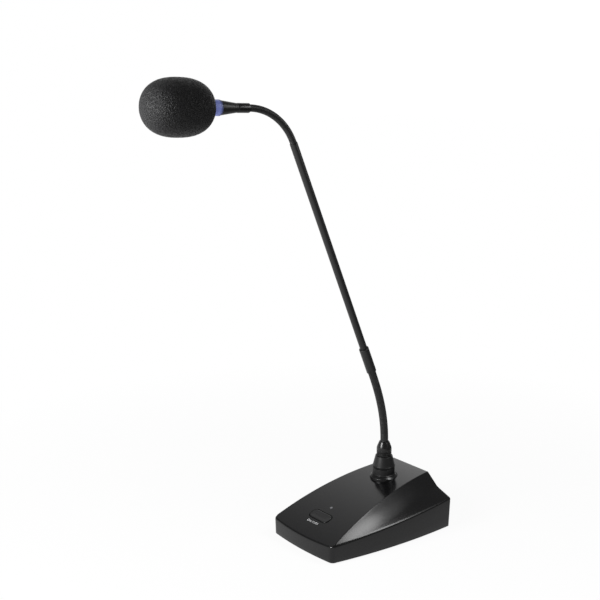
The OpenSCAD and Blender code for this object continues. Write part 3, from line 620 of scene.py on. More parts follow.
class CoverForm:
    """The cover's outline and top in numbers, worked out from its sizes."""

    def __init__(self, sizes):
        self.sizes = sizes
        self.front = -sizes.length / 2
        self.rear = sizes.length / 2
        self.front_r = sizes.front_width ** 2 / (8 * sizes.front_bow) + sizes.front_bow / 2
        self.front_c = np.array([0.0, self.front - sizes.front_bow + self.front_r])
        chord = np.array([(sizes.rear_width - sizes.front_width) / 2, sizes.length])
        run = np.linalg.norm(chord)
        out = np.array([chord[1], -chord[0]]) / run
        self.side_r = run ** 2 / (8 * sizes.side_bow) + sizes.side_bow / 2
        middle = np.array([(sizes.rear_width + sizes.front_width) / 4, 0.0])
        self.side_c = middle - out * (self.side_r - sizes.side_bow)
        drop = sizes.rear_height - sizes.front_height
        self.crown_r = (sizes.length ** 2 + drop ** 2) / (2 * drop)
        line, crease = self.rear_lines()
        self.crease_u = float(crease @ line / (line @ line))
        self.crease_v = float((crease[1] * line[0] - crease[0] * line[1]) / (line @ line))

    def rear_lines(self):
        """From the spine to the skirt and to the crease, in the rear wall."""
        sizes = self.sizes
        spine = np.array([sizes.spine_width / 2, sizes.rear_height])
        skirt = np.array([sizes.rear_width / 2, sizes.side_height])
        crease = np.array([sizes.crease_width / 2, sizes.crease_height])
        return skirt - spine, crease - spine

    def crown(self, y):
        """Height of the crown, an arc that is level at the rear."""
        rise = np.sqrt(self.crown_r ** 2 - (self.rear - y) ** 2)
        return self.sizes.lift + self.sizes.rear_height - self.crown_r + rise

    def crown_tilt(self, y):
        return math.asin((self.rear - y) / self.crown_r)

    def side_x(self, y):
        return self.side_c[0] + np.sqrt(self.side_r ** 2 - (y - self.side_c[1]) ** 2)

    def lean(self, z):
        """How far the wall stands out at a height, which is nothing at the rear corners' top."""
        return self.sizes.draft * ((z - self.sizes.lift) / self.sizes.side_height - 1)

    def section(self, y):
        """Share of the length, then spine, crease and skirt points of the section at y."""
        sizes = self.sizes
        t = np.clip((y - self.front) / sizes.length, 0, 1)
        spine = (lerp(sizes.front_width, sizes.spine_width, t) / 2, self.crown(y))
        skirt = (self.side_x(y), sizes.lift + lerp(sizes.front_height, sizes.side_height, t))
        dx, dz = skirt[0] - spine[0], skirt[1] - spine[1]
        crease = (spine[0] + dx * self.crease_u - dz * self.crease_v,
                  spine[1] + dz * self.crease_u + dx * self.crease_v)
        return t, spine, crease, skirt

    def cove(self, x, y):
        """Height of the cove's section at x: two straight runs with a bend at the crease."""
        t, spine, crease, skirt = self.section(y)
        bend = lerp(FRONT_BEND, REAR_BEND, t)
        in_x, in_z = [lerp(c, p, bend) for c, p in zip(crease, spine)]
        out_x, out_z = [lerp(c, p, bend) for c, p in zip(crease, skirt)]
        square = in_x - 2 * crease[0] + out_x
        single = 2 * (crease[0] - in_x)
        root = np.sqrt(np.maximum(single ** 2 - 4 * square * (in_x - x), 0))
        u = np.clip(2 * (x - in_x) / (single + root), 0, 1)
        inner = spine[1] + (x - spine[0]) * (in_z - spine[1]) / np.maximum(in_x - spine[0], LEAST_RUN)
        outer = out_z + (x - out_x) * (skirt[1] - out_z) / np.maximum(skirt[0] - out_x, LEAST_RUN)
        bent = np.where(x > out_x, outer, bezier(in_z, crease[1], out_z, u))
        return np.where(x < in_x, inner, bent)

    def ridge_half(self, y):
        """Half the width of the rounding between crown and cove."""
        _, spine, _, skirt = self.section(y)
        return np.clip(RIDGE_SHARE * (skirt[0] - spine[0]), LEAST_RIDGE, self.sizes.ridge)

    def height(self, x, y):
        """Height of the top: the crown, the rounded ridge and the cove."""
        x = np.abs(x)
        edge = self.section(y)[1][0]
        top = self.crown(y)
        half = self.ridge_half(y)
        u = np.clip((x - edge + half) / (2 * half), 0, 1)
        ridge = top - u ** 2 * (top - self.cove(edge + half, y))
        flat = np.where(x <= edge - half, top, ridge)
        return np.where(x >= edge + half, self.cove(x, y), flat)

    def corner_centres(self, radius, rear_radius):
        """Middles of the right front and right rear corner's arcs."""
        ra, rb = self.front_r - radius, self.side_r - radius
        gap = self.side_c - self.front_c
        d = np.linalg.norm(gap)
        a = (ra ** 2 - rb ** 2 + d ** 2) / (2 * d)
        h = math.sqrt(ra ** 2 - a ** 2)
        foot = self.front_c + gap * a / d
        off = np.array([-gap[1], gap[0]]) * h / d
        front = max((foot + off, foot - off), key=lambda p: p[0] - p[1])
        y = self.rear - rear_radius
        across = (self.side_r - rear_radius) ** 2 - (y - self.side_c[1]) ** 2
        return front, np.array([self.side_c[0] + math.sqrt(across), y])

    def paths(self, radius, rear_radius):
        """Front, side and rear of the right half as points and normals, each meeting at mid-corner."""
        front_corner, rear_corner = self.corner_centres(radius, rear_radius)

        def arc(centre, r, a0, a1):
            a = np.linspace(a0, a1, ARC_STEPS)
            n = np.stack([np.cos(a), np.sin(a)], 1)
            return np.hstack([centre + r * n, n])

        def heading(p, centre):
            return math.atan2(p[1] - centre[1], p[0] - centre[0])

        f1, f2 = heading(front_corner, self.front_c), heading(front_corner, self.side_c)
        r1, r2 = heading(rear_corner, self.side_c), math.pi / 2
        line = np.stack([np.linspace(0, rear_corner[0], ARC_STEPS), np.full(ARC_STEPS, self.rear),
                         np.zeros(ARC_STEPS), np.ones(ARC_STEPS)], 1)
        front = np.vstack([arc(self.front_c, self.front_r, -math.pi / 2, f1),
                           arc(front_corner, radius, f1, (f1 + f2) / 2)[1:]])
        side = np.vstack([arc(front_corner, radius, (f1 + f2) / 2, f2),
                          arc(self.side_c, self.side_r, f2, r1)[1:],
                          arc(rear_corner, rear_radius, r1, (r1 + r2) / 2)[1:]])
        rear = np.vstack([line, arc(rear_corner, rear_radius, r2, (r1 + r2) / 2)[1:]])
        return front, side, rear


# Mesh of the base cover

# Columns from the middle to the spine, over the ridge, to the crease and to the edge
COLUMNS = (26, 4, 14, 20)
# Rows round the front corner, along the side and round the rear corner
SIDE_ROWS = (7, 100, 7)
# Shares of the front edge at which the spans of columns end
FRONT_KNOTS = (0, 0.955, 0.97, 0.98, 1)
# How fast the columns swing over to the front and the rear edge
FRONT_SETTLE = 0.015
REAR_SETTLE = 0.01
# Least room for the cove, and shares of the room for the ridge and on each side of the crease
LEAST_COVE = 0.3 * MM
RIDGE_ROOM = 0.2
INNER_ROOM = 0.3
OUTER_ROOM = 0.1
FOOT_STEPS = 3
WALL_ROWS = 3
RIM_ROWS = 6
MIRROR = np.array([-1, 1, -1, 1])


def path_run(path):
    """Lengths along a path at its points."""
    return np.concatenate([[0], np.cumsum(np.linalg.norm(np.diff(path[:, :2], axis=0), axis=1))])


def along_path(path, places):
    """Points and normals at lengths along a path."""
    run = path_run(path)
    out = np.stack([np.interp(places, run, path[:, i]) for i in range(4)], 1)
    out[:, 2:] /= np.linalg.norm(out[:, 2:], axis=1)[:, None]
    return out


def knotted(knots, counts):
    """Places between knots, a count for each span."""
    out = [np.array([knots[0]])]
    for i, count in enumerate(counts):
        out.append(np.linspace(knots[i], knots[i + 1], count + 1)[1:])
    return np.concatenate(out)


def cover_edges(form, radius, rear_radius):
    """Outline points for the columns of the front, the rows of the side and the columns of the rear."""
    front, side, rear = form.paths(radius, rear_radius)
    front_run, side_run, rear_run = [float(path_run(path)[-1]) for path in (front, side, rear)]
    turn, rear_turn = radius * math.pi / 4, rear_radius * math.pi / 4
    _, spine, crease, _ = form.section(np.array(form.rear))
    half = float(form.ridge_half(np.array(form.rear)))
    places = knotted([0, spine[0] - half, spine[0] + half, crease[0], rear_run], COLUMNS)
    last = np.linspace(1, 0, COLUMNS[-1] + 1)
    places[-len(last):] = rear_run - (rear_run - crease[0]) * last ** 2
    return (along_path(front, knotted([knot * front_run for knot in FRONT_KNOTS], COLUMNS)),
            along_path(side, knotted([0, turn, side_run - rear_turn, side_run], SIDE_ROWS)),
            along_path(rear, places))


def mirrored(half):
    """The whole front or rear edge from its right half."""
    return np.vstack([half[:0:-1] * MIRROR, half])


def edge_loop(edges):
    """The whole outline, anticlockwise from the front left corner."""
    front, side, rear = edges
    left = side * MIRROR
    return np.vstack([mirrored(front), side[1:], mirrored(rear)[-2::-1], left[-2:0:-1]])


def cover_grid(form, edges, inset, drop):
    """Points of the top inside the rim, as rows of columns."""
    front, side, rear = [e[:, :2] - e[:, 2:] * inset for e in edges]
    v = ((side[:, 1] - side[0, 1]) / (side[-1, 1] - side[0, 1]))[:, None]
    bowed = (front[:, 1] - front[-1, 1])[None] * (1 - v) ** 2
    y = side[:, 1:2] + bowed + (rear[:, 1] - rear[-1, 1])[None] * v ** 4
    edge = side[:, 0:1]
    _, spine, crease, _ = form.section(y)
    spine = np.minimum(spine[0], edge - LEAST_COVE)
    room = edge - spine
    half = np.minimum(form.ridge_half(y), RIDGE_ROOM * room)
    crease = np.clip(crease[0], spine + INNER_ROOM * room, edge - OUTER_ROOM * room)
    knots = [np.zeros_like(spine), spine - half, spine + half, crease, edge + np.zeros_like(spine)]
    x = np.zeros_like(y)
    column = 1
    for i, count in enumerate(COLUMNS):
        for k in range(1, count + 1):
            x[:, column] = lerp(knots[i][:, column], knots[i + 1][:, column], k / count)
            column += 1
    x += (front[:, 0] - x[0])[None] * np.exp(-v / FRONT_SETTLE)
    x += (rear[:, 0] - x[-1])[None] * np.exp(-(1 - v) / REAR_SETTLE)
    x[:, 0] = 0
    x[:, -1] = side[:, 0]
    x[0], x[-1] = front[:, 0], rear[:, 0]
    y[0], y[-1], y[:, -1] = front[:, 1], rear[:, 1], side[:, 1]
    z = form.height(x, y) - drop
    right = np.stack([x, y, z], 2)
    return np.concatenate([right[:, :0:-1] * np.array([-1, 1, 1]), right], 1)


def grid_loop(rows, columns):
    """Numbers of a grid's border, anticlockwise from the front left corner."""
    front = list(range(columns))
    right = [r * columns + columns - 1 for r in range(1, rows)]
    rear = [(rows - 1) * columns + c for c in range(columns - 2, -1, -1)]
    left = [r * columns for r in range(rows - 2, 0, -1)]
    return front + right + rear + left


def cover_mesh(form):
    """The cover's closed shell, before its openings are cut."""
    sizes = form.sizes
    verts, faces = [], []

    def put(points):
        start = len(verts)
        verts.extend(points)
        return list(range(start, len(verts)))

    def skin(rear_corner, inset, drop, rim, foot, flip):
        """One face of the wall with the top; returns the numbers of its lowest ring."""
        edges = cover_edges(form, sizes.corner, rear_corner)
        loop = edge_loop(edges)
        p, n = loop[:, :2], loop[:, 2:]

        def ring(offset, z):
            return np.hstack([p + n * np.reshape(offset, (-1, 1)),
                              np.broadcast_to(np.reshape(z, (-1, 1)), (len(p), 1))])

        edge_z = form.height(*(p - n * inset).T) - drop
        grid = cover_grid(form, edges, inset + rim, drop)
        rows, columns = grid.shape[:2]
        top = put(grid.reshape(-1, 3))
        border = [top[i] for i in grid_loop(rows, columns)]
        turns = quarter(FOOT_STEPS) if foot else [(1.0, 0.0)]
        rings = []
        for c, s in turns:
            z = sizes.lift + foot * (1 - s)
            rings.append(put(ring(form.lean(z) - inset - foot * (1 - c), z)))
        rings = rings[::-1]
        low = np.array([verts[i] for i in rings[-1]])
        start = ring(form.lean(edge_z - rim) - inset, edge_z - rim)
        for k in range(1, WALL_ROWS + 1):
            rings.append(put(lerp(low, start, k / WALL_ROWS)))
        corner = ring(form.lean(edge_z) - inset, edge_z)
        end = np.array([verts[i] for i in border])
        for k in range(1, RIM_ROWS):
            rings.append(put(bezier(start, corner, end, k / RIM_ROWS)))
        rings.append(border)
        made = []
        for low_ring, high_ring in zip(rings, rings[1:]):
            for k in range(len(p)):
                j = (k + 1) % len(p)
                made.append((low_ring[k], low_ring[j], high_ring[j], high_ring[k]))
        for r in range(rows - 1):
            for c in range(columns - 1):
                a = top[0] + r * columns + c
                made.append((a, a + 1, a + columns + 1, a + columns))
        faces.extend([face[::-1] for face in made] if flip else made)
        return rings[0]

    outer = skin(sizes.rear_corner, 0.0, 0.0, sizes.rim, sizes.foot, False)
    inner = skin(sizes.wall + sizes.rear_corner / 2, sizes.wall, sizes.wall, sizes.inner_rim, 0.0, True)
    for k in range(len(outer)):
        j = (k + 1) % len(outer)
        faces.append((inner[k], inner[j], outer[j], outer[k]))
    return mesh_from("base_shell", verts, faces)


def button_frame(form, back):
    """Middle of the button on the crown, with Z out of the crown."""
    y = form.front + back
    return axis_frame((0, y, float(form.crown(np.array(y)))), -joint_axis("button_press"))


def lens_frame():
    low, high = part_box("light_pipe")
    return axis_frame((low + high) / 2, -joint_axis("button_press"))


def outlet_frame():
    """Middle of the outlet's flange, with Z pointing out of the rear wall."""
    low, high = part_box("outlet_shell")
    centre = (low + high) / 2
    points = node_points("outlet_insert")
    y = points[:, 1]
    slice_depth = 0.6 * MM
    out = points[y > y.max() - slice_depth].mean(0) - points[y < y.min() + slice_depth].mean(0)
    return axis_frame((0, high.y, centre.z), (0, out[1], out[2]))


# How far the cutter of each opening reaches below and above its seat, in millimetres
CUT_REACH = {"button": (-6, 6), "lens": (-4, 9), "socket": (-13, 5), "outlet": (-9, 6)}
# Height of the part of the socket that stands in the cover
SOCKET_BAND = 2 * MM
# From the outlet's flange to the two ends of its barrel
BARREL = (-40 * MM, -5 * MM)


def cut_reach(name, seat=0.0):
    return [seat + millimetres * MM for millimetres in CUT_REACH[name]]


class MIC_OT_cover(bpy.types.Operator):
    """Builds the wedge-shaped base cover with its coves and openings"""
    bl_idname = "mic.cover"
    bl_label = "Base cover"

    def execute(self, context):
        scene = context.scene
        form = CoverForm(scene.mic_cover)
        mesh = cut_mesh(cover_mesh(form), self.openings(form, scene.mic_button))
        piece("base_shell", mesh, cover_finish(), "base", ["base_cover"], sharp=30)
        return {"FINISHED"}

    def openings(self, form, button):
        """Cutters for the button, the lens, the neck socket and the rear outlet."""
        outline = rounded_rectangle(button.width + 2 * button.gap, button.length + 2 * button.gap,
                                    button.corner + button.gap)
        lens = lens_frame()
        lens_top = reach("light_pipe", lens)[1]
        lens_r = girth("light_pipe", lens, lens_top, lens_top)[1]
        ring_top = reach("socket_shell", PLUG)[1]
        ring_r = girth("socket_shell", PLUG, ring_top - SOCKET_BAND, ring_top)[1]
        rear = outlet_frame()
        barrel_r = girth("outlet_shell", rear, *BARREL)[1]
        return [
            prism_mesh("button_cut", outline, *cut_reach("button"), button_frame(form, button.back)),
            drill("lens_cut", lens, lens_r + FIT, *cut_reach("lens")),
            drill("socket_cut", PLUG, ring_r + FIT, *cut_reach("socket", ring_top)),
            drill("outlet_cut", rear, barrel_r + FIT, *cut_reach("outlet")),
        ]


# Stage

CAMERA_PLACE = (0.63564, -0.58694, 0.40989)
CAMERA_RIGHT = Vector((0.6346, 0.7729, 0.0)).normalized()
CAMERA_LOOK = Vector((-0.7517, 0.6172, -0.2325)).normalized()
CAMERA_LENS = 64.74
CAMERA_SENSOR = 36
FLOOR_HALF = 4.0
WHITE = (1, 1, 1, 1)
# Softboxes: name, place, aim, roll in degrees, width, height, spread in degrees and power
LAMPS = (
    ("rear grid box", (0.2937, 0.1575, 0.4142), (0.0802, -0.0465, 0.0107), -26.6, 0.14, 0.36, 105, 0.43),
    ("rear fill", (0.2762, 0.2014, 0.4013), (0.0627, -0.0026, -0.0022), -26.6, 0.235, 0.36, 105, 0.07),
    ("front softbox", (-0.06, -0.62, 0.42), (0.0, -0.10, 0.25), 0, 0.28, 0.28, 180, 4.9),
)


def darker(tree, place, way, near, far):
    """White falling to dark along a way to the right rear, between two places on it."""
    return ranged(tree, how_far(tree, place, way), near, far, 1.0, 0.12)


def seen(tree):
    """1 for camera, mirror and glass rays."""
    path = add(tree, "ShaderNodeLightPath").outputs
    glossy = larger(tree, path["Is Glossy Ray"], path["Is Transmission Ray"])
    return larger(tree, path["Is Camera Ray"], glossy)


class MIC_OT_stage(bpy.types.Operator):
    """Sets the camera, the lamps, the world and the floor"""
    bl_idname = "mic.stage"
    bl_label = "Stage"

    def execute(self, context):
        scene = context.scene
        scene.view_settings.view_transform = "Standard"
        self.camera(scene)
        self.lamps()
        self.world(scene)
        self.floor(scene.mic_colours.floor)
        return {"FINISHED"}

    def camera(self, scene):
        data = bpy.data.cameras.new("camera")
        data.sensor_width = CAMERA_SENSOR
        data.lens = CAMERA_LENS
        data.clip_start = 0.01
        up = CAMERA_RIGHT.cross(CAMERA_LOOK).normalized()
        turn = Matrix((CAMERA_RIGHT, up, -CAMERA_LOOK)).transposed().to_4x4()
        camera = new_object("camera", data)
        camera.matrix_world = Matrix.Translation(CAMERA_PLACE) @ turn
        scene.camera = camera

    def lamps(self):
        for name, place, aim, roll, width, height, spread, power in LAMPS:
            data = bpy.data.lights.new(name, "AREA")
            data.shape = "RECTANGLE"
            data.size = width
            data.size_y = height
            data.spread = math.radians(spread)
            data.energy = power
            lamp = new_object(name, data)
            turn = (Vector(aim) - Vector(place)).to_track_quat("-Z", "Y").to_matrix().to_4x4()
            roll_turn = Matrix.Rotation(math.radians(roll), 4, "Z")
            lamp.matrix_world = Matrix.Translation(place) @ turn @ roll_turn
            lamp.visible_camera = False

    def world(self, scene):
        """White to the camera; mirrors see a white front and left side that darken to the right rear."""
        world = bpy.data.worlds.new("studio")
        world.use_nodes = True
        tree = world.node_tree
        tree.nodes.clear()
        ray = add(tree, "ShaderNodeTexCoord").outputs["Generated"]
        way = add(tree, "ShaderNodeSeparateXYZ", {0: ray}).outputs
        low = ranged(tree, way["Z"], 0.06, 0.25, 1.0, 0.0)
        side = darker(tree, ray, (0.34, 0.94, 0.0), -0.5, 0.8)
        ceiling = larger(tree, times(tree, low, side), 0.19)
        wall = ranged(tree, way["Y"], -0.3, 0.65, 0.06, 1.08)
        left = ranged(tree, way["X"], -0.25, -0.5)
        room = larger(tree, ceiling, times(tree, wall, left))
        level = larger(tree, camera_ray(tree), room)
        soft = add(tree, "ShaderNodeBackground", {"Color": WHITE, "Strength": 0.12})
        white = add(tree, "ShaderNodeBackground", {"Color": WHITE, "Strength": level})
        mix = add(tree, "ShaderNodeMixShader", {0: seen(tree), 1: soft.outputs[0], 2: white.outputs[0]})
        add(tree, "ShaderNodeOutputWorld", {0: mix.outputs[0]})
        scene.world = world

    def floor(self, colour):
        half = FLOOR_HALF
        verts = [(-half, -half, 0), (half, -half, 0), (half, half, 0), (-half, half, 0)]
        mesh = mesh_from("floor", verts, [(0, 1, 2, 3)])
        mesh.materials.append(self.floor_finish(colour))
        floor = new_object("floor", mesh)

    def floor_finish(self, colour):
        """Pale and dull, but white to the camera, with a soft contact shadow round the base; mirrors see it
        with painted shade towards the right rear.
        """
        material, tree, shader = start_material("Pale floor")
        place = object_place(tree)
        patches = clouds(tree, place, scale=30.0, detail=2.0)
        body = mix_colour(tree, patches, rgba(colour), rgba(colour, 0.99))
        feed(tree, shader, {"Base Color": body, "Roughness": 0.9})
        # Painted shade seen only in mirrors: the floor's glow falls from white to dark towards the right
        # rear
        level = larger(tree, camera_ray(tree), darker(tree, place, (0.52, 0.85, 0.0), -0.18, 0.38))
        glow = add(tree, "ShaderNodeEmission", {"Color": WHITE, "Strength": level})
        distance = add(tree, "ShaderNodeVectorMath", {0: place}, operation="LENGTH").outputs["Value"]
        amount = times(tree, seen(tree), ranged(tree, distance, 0.1, 0.5, 0.93, 1.0))
        mix = add(tree, "ShaderNodeMixShader", {0: amount, 1: shader.outputs[0], 2: glow.outputs[0]})
        out = next(node for node in tree.nodes if node.type == "OUTPUT_MATERIAL")
        tree.links.new(mix.outputs[0], out.inputs[0])
        return material


# Button, lens and mark

EDGE_STEPS = 6
CAP_CORNER_STEPS = 10
LEAST_CORNER = 0.3 * MM
LIP_LOW = 1.2 * MM
LIP_THICK = 0.9 * MM
BUTTON_STEM_R = 2.5 * MM
BUTTON_STEM_EDGE = 0.3 * MM
BUTTON_STEM_SINK = 0.2 * MM
# Insets of the rings on the cap's top, and where its dish starts and how far it takes, in millimetres
DISH_INSETS = (1.2, 2.2, 3.2, 3.9, 4.4)
DISH_START = 0.5
DISH_RUN = 2.5
LENS_FOOT = 1.2 * MM
LENS_CROWN = 0.25 * MM
LENS_SEGMENTS = 48
INK = 0.02 * MM
INK_LIFT = 0.025 * MM
MARK_SHIFT = -1.1 * MM
LETTER_SCALE = 1.38
LETTER_SPACE = 1.25


class MIC_OT_button(bpy.types.Operator):
    """Builds the talk button, the indicator lens and the printed mark"""
    bl_idname = "mic.button"
    bl_label = "Button and indicator"

    def execute(self, context):
        scene = context.scene
        form = CoverForm(scene.mic_cover)
        self.cap(form, scene.mic_button)
        self.lens()
        self.mark(form, scene.mic_button, scene.mic_colours.mark)
        return {"FINISHED"}

    def cap(self, form, button):
        seat = button_frame(form, button.back)
        back = seat.inverted()

        def ring(inset, rise=None, level=None):
            """A ring of the cap, at a level of the seat or at a rise above the crown."""
            outline = rounded_rectangle(button.width - 2 * inset, button.length - 2 * inset,
                                        max(button.corner - inset, LEAST_CORNER), CAP_CORNER_STEPS)
            out = []
            for x, y in outline:
                z = level
                if level is None:
                    world_y = (seat @ Vector((x, y, 0))).y
                    z = (back @ Vector((x, world_y, float(form.crown(np.array(world_y)))))).z + rise
                out.append(seat @ Vector((x, y, z)))
            return out

        low = -form.sizes.wall - LIP_LOW
        high = low + LIP_THICK
        rings = [ring(-button.lip, level=low), ring(-button.lip, level=high), ring(0, level=high),
                 ring(0, button.proud - button.edge)]
        for c, s in quarter(EDGE_STEPS)[1:]:
            rings.append(ring(button.edge * (1 - c), button.proud - button.edge * (1 - s)))
        for inset in DISH_INSETS:
            dish = button.dish * min(1.0, (inset - DISH_START) / DISH_RUN)
            rings.append(ring(inset * MM, button.proud - dish))
        cap = stacked_mesh("talk_button_cap", rings)
        bottom = reach("talk_button", seat)[0]
        stem_top = low + BUTTON_STEM_SINK
        profile = [(0, bottom), (BUTTON_STEM_R, bottom), (BUTTON_STEM_R, stem_top), (0, stem_top)]
        stem = turned_mesh("stem", soften(profile, BUTTON_STEM_EDGE), seat, SMALL_SEGMENTS)
        piece("talk_button_cap", joined("talk_button_cap", [cap, stem]), button_finish(), "talk_button",
              ["talk_button"])

    def lens(self):
        seat = lens_frame()
        bottom, top, foot_r = reach("light_pipe", seat)
        r = girth("light_pipe", seat, top, top)[1]
        step = bottom + LENS_FOOT
        profile = [(0, bottom), (foot_r, bottom), (foot_r, step), (r, step)]
        for c, s in quarter(EDGE_STEPS)[:-1]:
            profile.append((r * c, top - LENS_CROWN * (1 - s)))
        profile.append((0, top))
        material = finish("Clear lens", (0.13, 0.13, 0.14), 0.12, relief=0.002, dust=0.02)
        mesh = turned_mesh("indicator_lens", profile, seat, LENS_SEGMENTS)
        piece("indicator_lens", mesh, material, "base", ["light_pipe"])

    def mark(self, form, button, colour):
        """Prints the words ON and OFF in thin ink on the crown."""
        y = form.front + button.mark_back
        curve = bpy.data.curves.new("mark", "FONT")
        curve.body = "ON/OFF"
        curve.space_character = LETTER_SPACE
        curve.size = button.mark_height * LETTER_SCALE
        curve.align_x = "CENTER"
        curve.align_y = "CENTER"
        curve.extrude = INK
        text = new_object("mark", curve)
        mesh = evaluated_mesh(text, "printed_mark")
        bpy.data.objects.remove(text)
        place = Matrix.Translation((MARK_SHIFT, y, float(form.crown(np.array(y))) + INK_LIFT))
        mesh.transform(place @ Matrix.Rotation(form.crown_tilt(y), 4, "X"))
        material = finish("White ink", colour, 0.55, grain=0.0002, relief=0.006, dust=0.0)
        piece("printed_mark", mesh, material, "base")


# Socket and plug

PLUG_SEGMENTS = 128
# Radius of the groove at the housing's foot, between the solid's foot and its widest
GROOVE_SHARE = 0.6
RINGS_HEIGHT = 4.9 * MM
CONE_HEIGHT = 4.2 * MM
CONE_BEND = 2.5 * MM
CONE_LEAN = math.radians(21.5)
CONE_STEPS = 16


class MIC_OT_plug(bpy.types.Operator):
    """Builds the socket ring and the turned pieces at the foot of the neck"""
    bl_idname = "mic.plug"
    bl_label = "Socket and plug"

    def execute(self, context):
        neck_r = context.scene.mic_neck.lower_diameter / 2 + 3 * FIT
        self.socket()
        self.sleeve()
        self.housing(neck_r)
        self.collar(neck_r)
        self.dome(neck_r)
        return {"FINISHED"}

    def turned(self, name, node, points, radii, material=None):
        mesh = rounded_turning(name, points, radii, PLUG, PLUG_SEGMENTS)
        piece(name, mesh, material or coat_finish(), "mic_plug", [node])

    def socket(self):
        """The ring that stands out of the cover, with its barrel and screw flange inside."""
        node = "socket_shell"
        z, r = seen_from(node, PLUG)
        foot, top = float(z.min()), float(z.max())
        ring_r = girth(node, PLUG, top - SOCKET_BAND, top)[1]
        bore = girth(node, PLUG, top, top)[0]
        well_r, barrel_r = girth(node, PLUG, foot, foot)
        seat = z[r > ring_r + MM]
        low, high = float(seat.min()), float(seat.max())
        floor = foot + 2.4 * MM
        chamfer = 1.6 * MM
        flange_corner = 5 * MM
        points = [(well_r, foot), (barrel_r, foot), (barrel_r, low), (ring_r, low), (ring_r, top - chamfer),
                  (ring_r - chamfer, top), (bore, top), (bore, floor), (well_r, floor)]
        ring = rounded_turning("ring", points, [0, 0, 0, 0, 0.5, 0.4, 0.3, 0, 0], PLUG, PLUG_SEGMENTS)
        corner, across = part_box(node)
        outline = rounded_rectangle(across.x - corner.x, across.y - corner.y, flange_corner)
        flange = cut_mesh(prism_mesh("flange", outline, low, high, PLUG),
                          [drill("bore", PLUG, barrel_r - FIT, low - MM, high + MM)])
        piece("socket_ring", joined("socket_ring", [ring, flange]), polished_finish(), "base",
              [node])

    def sleeve(self):
        low, high, lip_r = reach("plug_shell", PLUG)
        inner, r = girth("plug_shell", PLUG, low, low)
        seat = reach("socket_shell", PLUG)[1]
        lip = 1.1 * MM
        self.turned("plug_sleeve", "plug_shell",
                    [(inner, low), (r, low), (r, seat), (lip_r, seat), (lip_r, seat + lip / 2),
                     (r, seat + lip), (r, high), (inner, high)], [0.2, 0.5, 0, 0.15, 0.2, 0.15, 0.12, 0])

    def housing(self, neck_r):
        """The tapered body, with a groove at its foot and a bead above it."""
        low, high, r = reach("plug_housing", PLUG)
        inner, foot_r = girth("plug_housing", PLUG, low, low)
        foot_r = lerp(foot_r, r, GROOVE_SHARE)
        groove = low + 0.4 * MM
        band = low + 2.2 * MM
        bead = 0.25 * MM
        top_wall = 1.4 * MM
        top_r = girth("plug_housing", PLUG, high, high)[1]
        self.turned("plug_body", "plug_housing",
                    [(inner, low), (foot_r, low), (foot_r, groove), (r, groove), (r, band - 2 * bead),
                     (r + bead, band - 2 * bead), (r + bead, band), (r, band + bead), (top_r, high),
                     (neck_r, high), (neck_r, high - top_wall), (inner, band)],
                    [0, 0.1, 0.05, 0.2, 0.05, 0.1, 0.25, 0.3, 0.3, 0, 0, 0])

    def rings_top(self):
        """Where the rings of the collar end and the domed nut starts."""
        return reach("plug_collar", PLUG)[0] + RINGS_HEIGHT

    def collar(self, neck_r):
        low, _, r = reach("plug_collar", PLUG)
        high = self.rings_top()
        rings = 3
        half = 0.42 * MM
        sunk = r - 0.7 * MM
        points, radii = [(neck_r, low), (r, low)], [0, 0.3]
        for k in range(1, rings):
            at = lerp(low, high, k / rings)
            points += [(r, at - half), (sunk, at - half), (sunk, at + half), (r, at + half)]
            radii += [0.25, 0.1, 0.1, 0.25]
        self.turned("ringed_collar", "plug_collar", points + [(r, high), (neck_r, high)], radii + [0.3, 0])

    def dome(self, neck_r):
        """The domed nut: an upright wall that bends over into a cone."""
        _, high, r = reach("plug_dome", PLUG)
        low = self.rings_top()
        start = high - CONE_HEIGHT - CONE_BEND
        slope = math.tan(CONE_LEAN)
        points = [(neck_r, low), (r, low)]
        for k in range(CONE_STEPS + 1):
            rise = CONE_BEND * k / CONE_STEPS
            points.append((r - slope * rise * rise / (2 * CONE_BEND), start + rise))
        points.append((r - slope * (CONE_BEND / 2 + CONE_HEIGHT), high))
        points.append((neck_r, high))
        rounding = [0] * (len(points) - 2) + [0.35, 0]
        self.turned("domed_nut", "plug_dome", points, rounding, polished_finish())


# Stem

SLEEVE_FIT = 0.04 * MM
SLEEVE_EDGE = 0.35 * MM
STEM_WALL = 0.7 * MM
STEM_EDGE = 0.15 * MM


class MIC_OT_stem(bpy.types.Operator):
    """Builds the joint sleeve and the straight stem tube"""
    bl_idname = "mic.stem"
    bl_label = "Stem"

    def execute(self, context):
        low, high, sleeve_r = reach("joint_sleeve", STEM)
        tube_low, tube_high, tube_r = reach("stem_tube", STEM)
        self.tube("stem_sleeve", "joint_sleeve", tube_r + SLEEVE_FIT, sleeve_r, low, high, SLEEVE_EDGE)
        self.tube("stem_pipe", "stem_tube", tube_r - STEM_WALL, tube_r, tube_low, tube_high, STEM_EDGE)
        return {"FINISHED"}

    def tube(self, name, node, inner, outer, low, high, rounding):
        mesh = tube_mesh(name, STEM, inner, outer, low, high, rounding)
        piece(name, mesh, stem_finish(), "stem", [node])


# Wound neck

POINTS_PER_TURN = 8
GROOVE_POWER = 3.0
BALL_ROWS = 17


